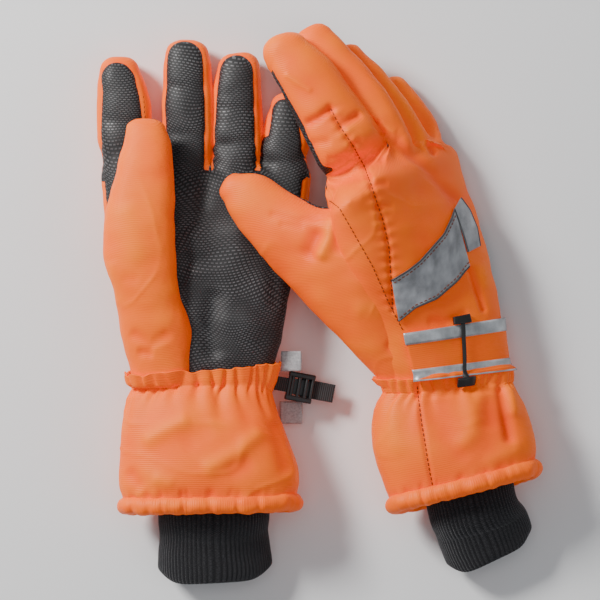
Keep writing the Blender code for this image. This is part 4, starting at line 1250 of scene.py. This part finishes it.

# ---------------------------------------------------------------- knit cuffs
# The inner cuff is a black rib knit, turned back on itself at its end, with a soft fuzzy face. Its
# colour is painted lighter on the rib crests and darker in the hollows and inside the turned-back end.

KNIT = {
    "left": [
        Slice(-0.0955, -0.1700, -0.0295, -0.1665, 0.0112, 0.0104, 0),
        Slice(-0.0962, -0.1600, -0.0282, -0.1590, 0.0128, 0.0112, 0),
        Slice(-0.0955, -0.1420, -0.0305, -0.1420, 0.0165, 0.0118, 0),
        Slice(-0.0960, -0.1250, -0.0300, -0.1250, 0.0240, 0.0118, 0),
        Slice(-0.0970, -0.0950, -0.0310, -0.0950, 0.0255, 0.0118, 0),
    ],
    "right": [
        Slice(0.0815, -0.1665, 0.1300, -0.1435, 0.0112, 0.0104, 0),
        Slice(0.0765, -0.1560, 0.1288, -0.1370, 0.0128, 0.0112, 0),
        Slice(0.0715, -0.1430, 0.1245, -0.1260, 0.0180, 0.0116, 0),
        Slice(0.0670, -0.1300, 0.1185, -0.1170, 0.0240, 0.0116, 0),
        Slice(0.0600, -0.1000, 0.1130, -0.0900, 0.0255, 0.0116, 0),
    ],
}
KNIT_RIB = 0.0019
KNIT_RIB_DEPTH = 0.0005
KNIT_CORNER = 0.0085  # how far the end's corners are drawn back
KNIT_WALL = 0.0026
KNIT_POINTS_PER_RIB = 6


def rib_knit():
    material, tree, shader = new_material("rib_knit", 0.95)
    shader.inputs["Sheen Weight"].default_value = 0.6
    shader.inputs["Sheen Roughness"].default_value = 0.5
    shader.inputs["Sheen Tint"].default_value = (0.5, 0.5, 0.52, 1.0)
    shader.inputs["Specular IOR Level"].default_value = 0.15
    place = add_node(tree, "UVMap", uv_map="cloth")
    apart = add_node(tree, "SeparateXYZ", [(0, place.outputs[0])])
    course = add_node(tree, "Math", [(0, apart.outputs[1])], operation="MULTIPLY", in_1=math.tau / 0.0011)
    loops = add_node(tree, "Math", [(0, course.outputs[0])], operation="SINE")
    wale = add_node(tree, "Math", [(0, apart.outputs[0])], operation="MULTIPLY",
                    in_1=2 * math.tau / KNIT_RIB)
    leans = add_node(tree, "Math", [(0, wale.outputs[0])], operation="SINE")
    woven = add_node(tree, "Math", [(0, loops.outputs[0]), (1, leans.outputs[0])], operation="MULTIPLY")
    fuzz = add_node(tree, "TexNoise", [("Vector", place.outputs[0])], in_2=1500.0, in_3=4.0)
    height = add_node(tree, "Math", [(0, woven.outputs[0]), (2, fuzz.outputs[0])],
                      operation="MULTIPLY_ADD", in_1=0.35)
    # Painted highlight and shade: the rib height lightens the crests and darkens the hollows and the inside
    # of the turned-back end.
    relief = add_node(tree, "Attribute", attribute_name="relief")
    painted_rib_light = add_node(tree, "Math", [(0, relief.outputs["Fac"]), (2, fuzz.outputs[0])],
                      operation="MULTIPLY_ADD", in_1=650.0)
    colours = ramp_between(tree, painted_rib_light.outputs[0],
                           [(0.15, (0.003, 0.003, 0.004)), (0.55, (0.012, 0.012, 0.014)),
                            (1.0, (0.055, 0.055, 0.060))])
    tree.links.new(colours.outputs[0], shader.inputs["Base Color"])
    raise_by(tree, shader, height.outputs[0], 0.8, 0.0004)
    return material


RIB_KNIT = rib_knit()
for side in SIDES:
    rows = slice_rows(KNIT[side], 14)
    girth = 2 * (rows.half.mean() + rows.rise.mean()) * 1.62
    ribs = int(girth / KNIT_RIB)
    count = ribs * KNIT_POINTS_PER_RIB
    cross, rise = oval(count, 2.4)
    turn = np.arange(count) * math.tau / count
    corner = KNIT_CORNER * np.abs(np.cos(turn)) ** 6
    outer = ring_points(rows, count, 2.4)
    rib = KNIT_RIB_DEPTH * np.abs(np.sin(turn * ribs / 2)) ** 0.7
    run = run_along(rows.centre)
    rings, relief, at = [], [], []
    inner_rows = range(26, -1, -2)
    for r in inner_rows:
        shrink = 1 - KNIT_WALL / np.linalg.norm(outer[r] - rows.centre[r], axis=1)
        ring = rows.centre[r] + (outer[r] - rows.centre[r]) * shrink[:, None]
        rings.append((ring, run[r], -KNIT_RIB_DEPTH, -run[r]))
    for r in range(len(outer)):
        rings.append((outer[r], run[r], 1.0, run[r]))
    grid = []
    for ring, along, inside, flat in rings:
        middle = ring.mean(0)
        out = ring - middle
        out = unit(out)
        end = math.exp(-along / 0.006)
        grow = rib if inside == 1.0 else rib * 0.4
        wavy = 0.0006 * np.array([noise.noise(Vector((*(p * 60)[:2], along * 80))) for p in ring])
        round_over = -KNIT_WALL * 0.5 * math.exp(-along / 0.0012) * (1 if inside == 1.0 else -1)
        grid.append(ring + out * (grow + wavy + round_over)[:, None]
                    + rows.along[0] * (corner * end)[:, None])
        # The inner rows get a lower relief, so the colour paints shade inside the turned-back end.
        relief.append(grow - KNIT_RIB_DEPTH * 0.6)
        at.append(flat)
    knit = grid_mesh(side + "_knit_cuff_rib", grid, caps=False, flip=True,
                     uv=lambda r, c: (c / KNIT_POINTS_PER_RIB * KNIT_RIB, at[r]))
    set_points(knit.data, rest_on_floor(points_of(knit.data)))
    store(knit.data, "relief", np.concatenate(relief))
    knit.data.materials.append(RIB_KNIT)
    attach(knit, side + "_hand")
    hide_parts(side + "_knit_cuff")

# ---------------------------------------------------------------- reflective stripes
# A wide stripe of silver reflective fabric is sewn over the back of each hand, from the seam at
# the forefinger's side out over the knuckles, with a short tail down the hand's far side. Dark
# piping and a row of stitches run along each edge.


def silver_fabric(name, grey, roughness):
    """Glass-bead reflective cloth: grey, softly mirroring, with faint wrinkles."""
    material, tree, shader = new_material(name, roughness, 0.35)
    place = add_node(tree, "UVMap", uv_map="cloth")
    beads = add_node(tree, "TexNoise", [("Vector", place.outputs[0])], in_2=2400.0, in_3=2.0)
    cloudy = add_node(tree, "TexNoise", [("Vector", place.outputs[0])], in_2=75.0, in_3=3.0)
    mixed = add_node(tree, "Math", [(0, beads.outputs[0]), (2, cloudy.outputs[0])],
                     operation="MULTIPLY_ADD", in_1=0.30)
    colours = ramp_between(tree, mixed.outputs[0],
                           [(0.40, tuple(0.50 * g for g in grey)), (0.62, grey),
                            (0.90, tuple(min(1.7 * g, 1.0) for g in grey))])
    tree.links.new(colours.outputs[0], shader.inputs["Base Color"])
    raise_by(tree, shader, mixed.outputs[0], 0.35, 0.0006)
    return material


STRIPE_SILVER = silver_fabric("reflective_fabric", (0.30, 0.31, 0.33), 0.42)
TAPE_SILVER = silver_fabric("reflective_tape", (0.42, 0.44, 0.46), 0.38)
PIPING, _, piping_shader = new_material("piping", 0.6)
piping_shader.inputs["Base Color"].default_value = (0.055, 0.056, 0.06, 1.0)
THREAD, _, thread_shader = new_material("dark_thread", 0.7)
thread_shader.inputs["Base Color"].default_value = (0.16, 0.030, 0.006, 1.0)

STRIPE = {
    "back": (
        [(0.0435, 0.0126), (0.0520, 0.0175), (0.0594, 0.0231), (0.0744, 0.0396), (0.0790, 0.0490),
         (0.0811, 0.0545)],
        [(0.0474, -0.0118), (0.0571, -0.0039), (0.0699, 0.0014), (0.0825, 0.0120), (0.0897, 0.0210)],
    ),
    "side": (
        [(0.0852, 0.0618), (0.0905, 0.0545), (0.0948, 0.0440), (0.0966, 0.0330)],
        [(0.0809, 0.0550), (0.0840, 0.0460), (0.0868, 0.0380), (0.0892, 0.0291)],
    ),
}
STRIPE_LIFT = 0.0007
STRIPE_THICKNESS = 0.0006
STRIPE_GRID = (64, 26)
PIPING_RADIUS = 0.00055
STRIPE_FLAT = {"back": (0.0290, 0.0690), "side": (0.0130, 0.0290)}


def spaced(line, count):
    """Points at even spaces along a line."""
    line = np.array(line, float)
    run = run_along(line)
    at = np.linspace(0, run[-1], count)
    return np.column_stack([np.interp(at, run, line[:, k]) for k in range(line.shape[1])])


def laid(tree, places, facing, lift):
    """Places seen from above, put on the surface that faces up (1) or down (-1)."""
    found = []
    for x, y in places:
        hit, normal, _, _ = tree.ray_cast(Vector((x, y, 0.2 * facing)), Vector((0, 0, -facing)))
        if hit is None:
            hit, normal = tree.find_nearest(Vector((x, y, 0.03)))[:2]
        if normal.z * facing < 0:
            normal = -normal
        found.append(hit + normal * lift)
    return np.array([tuple(p) for p in found])


def smoothed(rings, times):
    """A grid of points with its small bumps evened out along both ways."""
    rings = rings.copy()
    for _ in range(times):
        rings[1:-1] = rings[1:-1] * 0.5 + (rings[:-2] + rings[2:]) * 0.25
        if rings.shape[1] > 2:
            rings[:, 1:-1] = rings[:, 1:-1] * 0.5 + (rings[:, :-2] + rings[:, 2:]) * 0.25
    return rings


def cord_along(name, path, radius, material, sides=6):
    """A thin round cord through the points."""
    path = np.asarray(path)
    ahead = np.gradient(path, axis=0)
    ahead = unit(ahead)
    side_way = np.cross(ahead, (0.0, 0.0, 1.0))
    side_way /= np.linalg.norm(side_way, axis=1)[:, None] + 1e-9
    rise_way = np.cross(side_way, ahead)
    angle = np.arange(sides) * math.tau / sides
    rings = [p + radius * (np.cos(angle)[:, None] * a + np.sin(angle)[:, None] * b)
             for p, a, b in zip(path, side_way, rise_way)]
    cord = grid_mesh(name, rings, flip=True)
    face_outwards(cord.data)
    cord.data.materials.append(material)
    return cord


def thickened(obj, thickness, offset=1):
    apply_modifier(obj, "SOLIDIFY", thickness=thickness, offset=offset)
    return obj


for side in SIDES:
    facing = -PALM_UP[side]
    for part, (upper, lower) in STRIPE.items():
        if side == "left":
            upper, lower = carried_over(upper), carried_over(lower)
        top, bottom = spaced(upper, STRIPE_GRID[0]), spaced(lower, STRIPE_GRID[0])
        rings = []
        for t in np.linspace(0, 1, STRIPE_GRID[1]):
            rings.append(laid(surfaces[side], bottom * (1 - t) + top * t, facing, STRIPE_LIFT))
        rings = smoothed(np.array(rings), 3)
        width, length = STRIPE_FLAT[part]
        stripe = grid_mesh(f"{side}_{part}_stripe_fabric", rings, caps=False, closed=False,
                           flip=facing < 0,
                           uv=lambda r, c: (c / STRIPE_GRID[0] * length, r / STRIPE_GRID[1] * width))
        stripe.data.materials.append(STRIPE_SILVER)
        thickened(stripe, STRIPE_THICKNESS)
        edges = [rings[0] + (0, 0, facing * 0.0007), rings[-1] + (0, 0, facing * 0.0007)]
        piping = joined(f"{side}_{part}_stripe_piping",
                        [cord_along("piping", e, PIPING_RADIUS, PIPING) for e in edges])
        for piece in (stripe, piping):
            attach(piece, side + "_hand")
        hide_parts(f"{side}_{part}_stripe")

# ---------------------------------------------------------------- wrist straps
# An orange strap with a silver tape sewn along each edge goes over the back of the wrist, and is
# sewn in at both sides. A black slider of two bars grips it in the middle.

STRAP_ROWS = {
    "right": (Slice(0.0400, -0.0495, 0.1130, -0.0415, 0.0265, 0.02, 8),
              Slice(0.0390, -0.0215, 0.1095, -0.0110, 0.0285, 0.02, 12)),
    "left": (Slice(-0.1115, -0.0440, -0.0290, -0.0440, 0.0220, 0.02, 0),
             Slice(-0.1130, -0.0150, -0.0240, -0.0150, 0.0225, 0.02, 0)),
}
STRAP_FROM_TO = {"right": (134.0, -8.0), "left": (-166.0, -14.0)}  # degrees round the wrist
STRAP_COUNT = 90
STRAP_ACROSS = 18
STRAP_LIFT = 0.0013
STRAP_THICKNESS = 0.0010
TAPE_SHARE = 0.235
TAPE_THICKNESS = 0.0005
SLIDER_PLACE = {"right": 0.515, "left": 0.5}  # share of the strap's way round
TAPE_OVERHANG = 0.02  # share of the strap's width that each tape reaches past its edge
SLIDER_BAR = 0.0017  # half width of the slider's middle bar
SLIDER_HUMP = 0.0080
SLIDER_BEVEL = 0.0004
SLIDER_TURNS = 9  # points round the wrist in each of its parts
# Each part of the slider: the shares of the strap's width it covers, its half width round the
# wrist, how far it stands off the cloth, and its thickness.
SLIDER_PARTS = (
    (np.linspace(-0.07, 1.07, 30), SLIDER_BAR, 0.0040, 0.0012),
    (np.linspace(-0.20, -0.03, 6), SLIDER_HUMP, 0.0026, 0.0026),
    (np.linspace(1.03, 1.20, 6), SLIDER_HUMP, 0.0026, 0.0026),
)
RAY_FROM = 0.1  # metres outside the wrist
RING_IF_MISSED = 0.04
STRAP_FLAT = {"right": (0.0300, 0.0880), "left": (0.0290, 0.0980)}


def wrapped(side, turns, shares, lift, smooth=40):
    """Points round the wrist, by degrees and by share of the strap's width, over the cloth."""
    low, high = (slice_rows([s, s._replace(ay=s.ay + 0.01, by=s.by + 0.01)], 1)
                 for s in STRAP_ROWS[side])
    rings = []
    for share in shares:
        middle, across = (getattr(low, k)[0] * (1 - share) + getattr(high, k)[0] * share
                          for k in ("centre", "across"))
        ring = []
        for turn in np.radians(turns):
            out = across * math.cos(turn) + np.array((0.0, 0.0, 1.0)) * math.sin(turn)
            hit = wrist_surfaces[side].ray_cast(Vector(middle + out * RAY_FROM), Vector(-out))[0]
            ring.append(np.linalg.norm(np.array(hit) - middle) if hit else RING_IF_MISSED)
        ring = np.array(ring)
        cloth = ring.copy()
        for _ in range(smooth):
            ring[1:-1] = ring[1:-1] * 0.5 + (ring[:-2] + ring[2:]) * 0.25
            ring = np.maximum(ring, cloth)
        rings.append([middle + (across * math.cos(t) + np.array((0, 0, 1.0)) * math.sin(t)) * (d + lift)
                      for t, d in zip(np.radians(turns), ring)])
    return np.array(rings)


ORANGE_STRAP = ORANGE_CLOTH.copy()
ORANGE_STRAP.name = "orange_strap"
BLACK_PLASTIC, black_tree, black_shader = new_material("black_plastic", 0.33)
black_shader.inputs["Base Color"].default_value = (0.012, 0.012, 0.013, 1.0)
scuffs = add_node(black_tree, "TexCoord")
scuffed = add_node(black_tree, "TexNoise", [("Vector", scuffs.outputs["Object"])], in_2=420.0, in_3=3.0)
worn = add_node(black_tree, "MapRange", [(0, scuffed.outputs[0])], in_3=0.28, in_4=0.50)
black_tree.links.new(worn.outputs[0], black_shader.inputs["Roughness"])


def band(name, side, turns, shares, lift, thickness, material, bevel=0.0):
    """A strip round the wrist between two shares of the strap's width."""
    rings = wrapped(side, turns, shares, lift)
    if len(shares) > 2:
        rings = smoothed(rings, 2)
    strip = grid_mesh(name, rings, caps=False, closed=False, flip=PALM_UP[side] > 0,
                      uv=lambda r, c: (c * 0.001, r * 0.0016))
    bm = bmesh.new()
    bm.from_mesh(strip.data)
    middle = Vector(rings.reshape(-1, 3).mean(0)) - Vector((0, 0, -PALM_UP[side] * 0.02))
    bm.faces.ensure_lookup_table()
    face = bm.faces[len(bm.faces) // 2]
    if face.normal.dot(face.calc_center_median() - middle) < 0:
        bmesh.ops.reverse_faces(bm, faces=bm.faces)
    bm.to_mesh(strip.data)
    bm.free()
    store(strip.data, "relief", np.zeros(len(strip.data.vertices)))
    strip.data.materials.append(material)
    thickened(strip, thickness)
    if bevel:
        apply_modifier(strip, "BEVEL", width=bevel, segments=2, limit_method="ANGLE")
    return strip


wrist_surfaces = {side: surface_of(*hand_meshes[side], bpy.data.objects[side + "_cuff_cloth"].data)
                  for side in SIDES}
for side in SIDES:
    start, end = STRAP_FROM_TO[side]
    turns = np.linspace(start, end, STRAP_COUNT)
    strap = band(side + "_strap_webbing", side, turns, np.linspace(0, 1, STRAP_ACROSS), STRAP_LIFT,
                 STRAP_THICKNESS, ORANGE_STRAP)
    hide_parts(side + "_wrist_strap")
    tapes = []
    for where, shares in (("lower", np.linspace(-TAPE_OVERHANG, TAPE_SHARE, 6)),
                          ("upper", np.linspace(1 - TAPE_SHARE, 1 + TAPE_OVERHANG, 6))):
        tape = band(f"{side}_{where}_tape_silver", side, turns, shares, STRAP_LIFT + STRAP_THICKNESS,
                    TAPE_THICKNESS, TAPE_SILVER)
        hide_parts(f"{side}_strap_tape_{where}")
        tapes.append(tape)
    for piece in (strap, *tapes):
        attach(piece, side + "_hand")
    middle_turn = start + (end - start) * SLIDER_PLACE[side]
    degree = abs(end - start) / (STRAP_FLAT[side][1] * 1000)  # degrees for each millimetre round
    parts = []
    for shares, half_width, lift, thick in SLIDER_PARTS:
        span = half_width * 1000 * degree
        over = np.linspace(middle_turn + span, middle_turn - span, SLIDER_TURNS)
        parts.append(band("slider", side, over, shares, lift, thick, BLACK_PLASTIC, bevel=SLIDER_BEVEL))
    slider = joined(side + "_slider_plastic", parts)
    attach(slider, side + "_slider")
    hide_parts(side + "_strap_slider")

# ---------------------------------------------------------------- buckle and labels
# At the little finger's side of the left wrist a loop of webbing holds a small ladder buckle, with
# the free end of its webbing, so the gloves can be clipped to each other. Two satin labels are
# sewn into the same seam.

CLIP_TURN = -11.0
CLIP_DROOP = 14.0
CLIP_ROOT = (-0.0270, -0.0490, 0.0190)
BUCKLE_SIZE = (0.0165, 0.0175, 0.0036)
BUCKLE_BARS = (-0.0052, -0.0010, 0.0034)
BUCKLE_BAR = 0.0019


def black_weave():
    material, tree, shader = new_material("black_webbing", 0.75)
    place = add_node(tree, "TexCoord")
    turned = add_node(tree, "Mapping", [("Vector", place.outputs["Object"])])
    turned.inputs["Rotation"].default_value = (0.0, 0.0, math.radians(-CLIP_TURN))
    ribs = add_node(tree, "TexWave", [("Vector", turned.outputs[0])], in_1=260.0)
    colours = ramp_between(tree, ribs.outputs[1],
                           [(0.2, (0.006, 0.006, 0.007)), (0.9, (0.035, 0.035, 0.037))])
    tree.links.new(colours.outputs[0], shader.inputs["Base Color"])
    raise_by(tree, shader, ribs.outputs[1], 0.7, 0.0003)
    return material


BLACK_WEBBING = black_weave()
clip_frame = (Matrix.Translation(CLIP_ROOT) @ Matrix.Rotation(math.radians(CLIP_TURN), 4, "Z")
              @ Matrix.Rotation(math.radians(CLIP_DROOP), 4, "Y"))


def clip_block(size, place, bevel):
    """A block in the clip's own frame, with rounded edges."""
    bpy.ops.object.select_all(action="DESELECT")
    bpy.ops.mesh.primitive_cube_add(size=1)
    block = bpy.context.active_object
    block.data.transform(clip_frame @ Matrix.Translation(place) @ Matrix.Diagonal((*size, 1)))
    apply_modifier(block, "BEVEL", width=bevel, segments=3)
    block.data.shade_smooth()
    return block


rail_y = BUCKLE_SIZE[1] / 2 - 0.0016
buckle_x = 0.0085 + BUCKLE_SIZE[0] / 2
rails = [clip_block((BUCKLE_SIZE[0], 0.0032, BUCKLE_SIZE[2]), (buckle_x, y, 0), 0.0008)
         for y in (-rail_y, rail_y)]
bar_size = (BUCKLE_BAR, BUCKLE_SIZE[1] - 0.003, BUCKLE_SIZE[2] * 0.8)
bars = [clip_block(bar_size, (buckle_x + x, 0, 0.0002), 0.0006)
        for x in (-BUCKLE_SIZE[0] / 2 + 0.0011, *BUCKLE_BARS, BUCKLE_SIZE[0] / 2 - 0.0011)]
plate = clip_block((BUCKLE_SIZE[0] * 0.86, BUCKLE_SIZE[1] * 0.55, 0.0011), (buckle_x, 0, -0.0009), 0.0003)
buckle = joined("left_clip_buckle_plastic", rails + bars + [plate])
buckle.data.materials.append(BLACK_PLASTIC)
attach(buckle, "left_clip")
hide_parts("left_clip_buckle")


def ribbon(name, points, width, thickness, material, turn=(0.0, 1.0, 0.0)):
    """A flat ribbon through the points of the clip's own frame."""
    path = spaced(points, 24)
    rings = [[tuple(clip_frame @ Vector(p + np.array(turn) * width * s)) for s in np.linspace(-0.5, 0.5, 7)]
             for p in path]
    strip = grid_mesh(name, rings, caps=False, closed=False,
                      uv=lambda r, c: (r * 0.001, c * 0.0015))
    strip.data.materials.append(material)
    store(strip.data, "relief", np.zeros(len(strip.data.vertices)))
    thickened(strip, thickness, 0)
    apply_modifier(strip, "BEVEL", width=0.0002, segments=2, limit_method="ANGLE")
    return strip


webbing = ribbon("left_clip_loop_webbing", [(0.0000, 0, 0.0004), (0.0050, 0, 0.0006), (0.0100, 0, 0.0003)],
                 0.0085, 0.0013, BLACK_WEBBING)
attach(webbing, "left_hand")
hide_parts("left_clip_webbing")
tail = ribbon("left_clip_tail_webbing",
              [(0.0150, 0, -0.0022), (0.0230, 0, -0.0018), (0.0290, 0, -0.0008), (0.0340, 0, 0.0002),
               (0.0380, 0, 0.0008)], 0.0110, 0.0012, BLACK_WEBBING)
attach(tail, "left_clip")
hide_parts("left_clip_tail")


def satin():
    material, tree, shader = new_material("satin_label", 0.42)
    place = add_node(tree, "TexCoord")
    threads = add_node(tree, "TexNoise", [("Vector", place.outputs["Object"])], in_2=900.0, in_3=2.0)
    colours = ramp_between(tree, threads.outputs[0],
                           [(0.3, (0.26, 0.26, 0.27)), (0.7, (0.42, 0.42, 0.43))])
    tree.links.new(colours.outputs[0], shader.inputs["Base Color"])
    shader.inputs["Sheen Weight"].default_value = 0.3
    return material


SATIN = satin()
LABEL_CURL = 0.0012
for where, flap in (("upper", "left_label_upper"), ("lower", "left_label_lower")):
    low, high = (Vector(c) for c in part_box(flap))
    rings = []
    for t in np.linspace(0, 1, 14):
        rings.append([(low.x + 0.0006 + (high.x - low.x - 0.0012) * s,
                       low.y + 0.0006 + (high.y - low.y - 0.0012) * t,
                       (low.z + high.z) / 2 + LABEL_CURL * math.sin(math.pi * t) * (s - 0.5))
                      for s in np.linspace(0, 1, 12)])
    label = grid_mesh(flap + "_satin", rings, caps=False, closed=False,
                      uv=lambda r, c: (r * 0.001, c * 0.001))
    label.data.materials.append(SATIN)
    thickened(label, 0.0005, 0)
    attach(label, flap + "_flap")
    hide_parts(flap)

# ---------------------------------------------------------------- stitching
# Single rows of dark thread run down the seams over the hand, round the thumb and down the cuff.

STITCH_LENGTH = 0.0021
STITCH_PITCH = 0.0030
STITCH_RADIUS = 0.00030
STITCH_INSET = 0.07  # share of the stripe between its edge and its stitches
THUMB_SEAM = [(0.0060, 0.0600), (0.0123, 0.0546), (0.0219, 0.0378), (0.0315, 0.0210), (0.0405, 0.0012),
              (0.0441, -0.0060), (0.0507, -0.0186)]
stitch_lines["right"].append(("thumb_seam", THUMB_SEAM, 1))


def stitch_row(name, path):
    """One stitch modelled and copied along a path of surface points."""
    run = run_along(path)
    starts = np.arange(0.001, run[-1] - STITCH_LENGTH, STITCH_PITCH)
    points, faces = [], []
    angle = np.arange(6) * math.tau / 6
    for start in starts:
        ends = np.array([[np.interp(start + STITCH_LENGTH * s, run, path[:, k]) for k in range(3)]
                         for s in (0.0, 0.2, 0.8, 1.0)])
        ahead = ends[-1] - ends[0]
        ahead /= np.linalg.norm(ahead) + 1e-9
        one = np.cross(ahead, (0, 0, 1.0))
        one /= np.linalg.norm(one) + 1e-9
        two = np.cross(one, ahead)
        first = len(points)
        for place, size in zip(ends, (0.35, 1.0, 1.0, 0.35)):
            points += [tuple(place + STITCH_RADIUS * size * (math.cos(a) * one + math.sin(a) * two))
                       for a in angle]
        for r in range(3):
            for c in range(6):
                n = (c + 1) % 6
                faces.append((first + r * 6 + c, first + (r + 1) * 6 + c, first + (r + 1) * 6 + n,
                              first + r * 6 + n))
        faces.append(tuple(first + c for c in range(6)))
        faces.append(tuple(first + 18 + c for c in reversed(range(6))))
    mesh = bpy.data.meshes.new(name)
    mesh.from_pydata(points, [], faces)
    mesh.shade_smooth()
    mesh.materials.append(THREAD)
    return placed(name, mesh)


for side in SIDES:
    rows = []
    cuff_tree = surface_of(bpy.data.objects[side + "_cuff_cloth"].data)
    for name, line, facing in stitch_lines[side]:
        tree = cuff_tree if name == "cuff_seam" else surfaces[side]
        rows.append(stitch_row(name, laid(tree, spaced(line, 120), facing, 0.0002)))
    upper, lower = (spaced(e if side == "right" else carried_over(e), 60) for e in STRIPE["back"])
    for share in (STITCH_INSET, 1 - STITCH_INSET):
        rows.append(stitch_row("stripe_edge", laid(surfaces[side], upper * share + lower * (1 - share),
                                                   -PALM_UP[side], STRIPE_LIFT + STRIPE_THICKNESS + 0.0002)))
    stitches = joined(side + "_stitches", rows)
    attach(stitches, side + "_hand")

# ---------------------------------------------------------------- lining and elastic
# A fleece lining shows inside the open wrist of each glove, behind a band of ribbed elastic. The
# pale fleece is coloured dark grey: painted shade inside the wrist opening.


def fleece():
    material, tree, shader = new_material("fleece", 0.95)
    place = add_node(tree, "TexCoord")
    pile = add_node(tree, "TexNoise", [("Vector", place.outputs["Object"])], in_2=700.0, in_3=5.0)
    # Painted shade: the pale fleece is coloured dark grey for the shade inside the wrist opening.
    colours = ramp_between(tree, pile.outputs[0],
                           [(0.3, (0.05, 0.05, 0.055)), (0.75, (0.13, 0.13, 0.14))])
    tree.links.new(colours.outputs[0], shader.inputs["Base Color"])
    raise_by(tree, shader, pile.outputs[0], 1.0, 0.0008)
    shader.inputs["Sheen Weight"].default_value = 0.5
    return material


def elastic():
    material, tree, shader = new_material("elastic", 0.8)
    place = add_node(tree, "TexCoord")
    ribs = add_node(tree, "TexWave", [("Vector", place.outputs["Object"])], in_1=300.0,
                    bands_direction="Y")
    colours = ramp_between(tree, ribs.outputs[1],
                           [(0.1, (0.25, 0.25, 0.25)), (0.9, (0.55, 0.55, 0.54))])
    tree.links.new(colours.outputs[0], shader.inputs["Base Color"])
    return material


FLEECE, ELASTIC = fleece(), elastic()
for side in SIDES:
    for node, material in ((side + "_hand_lining", FLEECE), (side + "_wrist_elastic", ELASTIC)):
        cad = bpy.data.objects[node]
        cad.data.materials.clear()
        cad.data.materials.append(material)
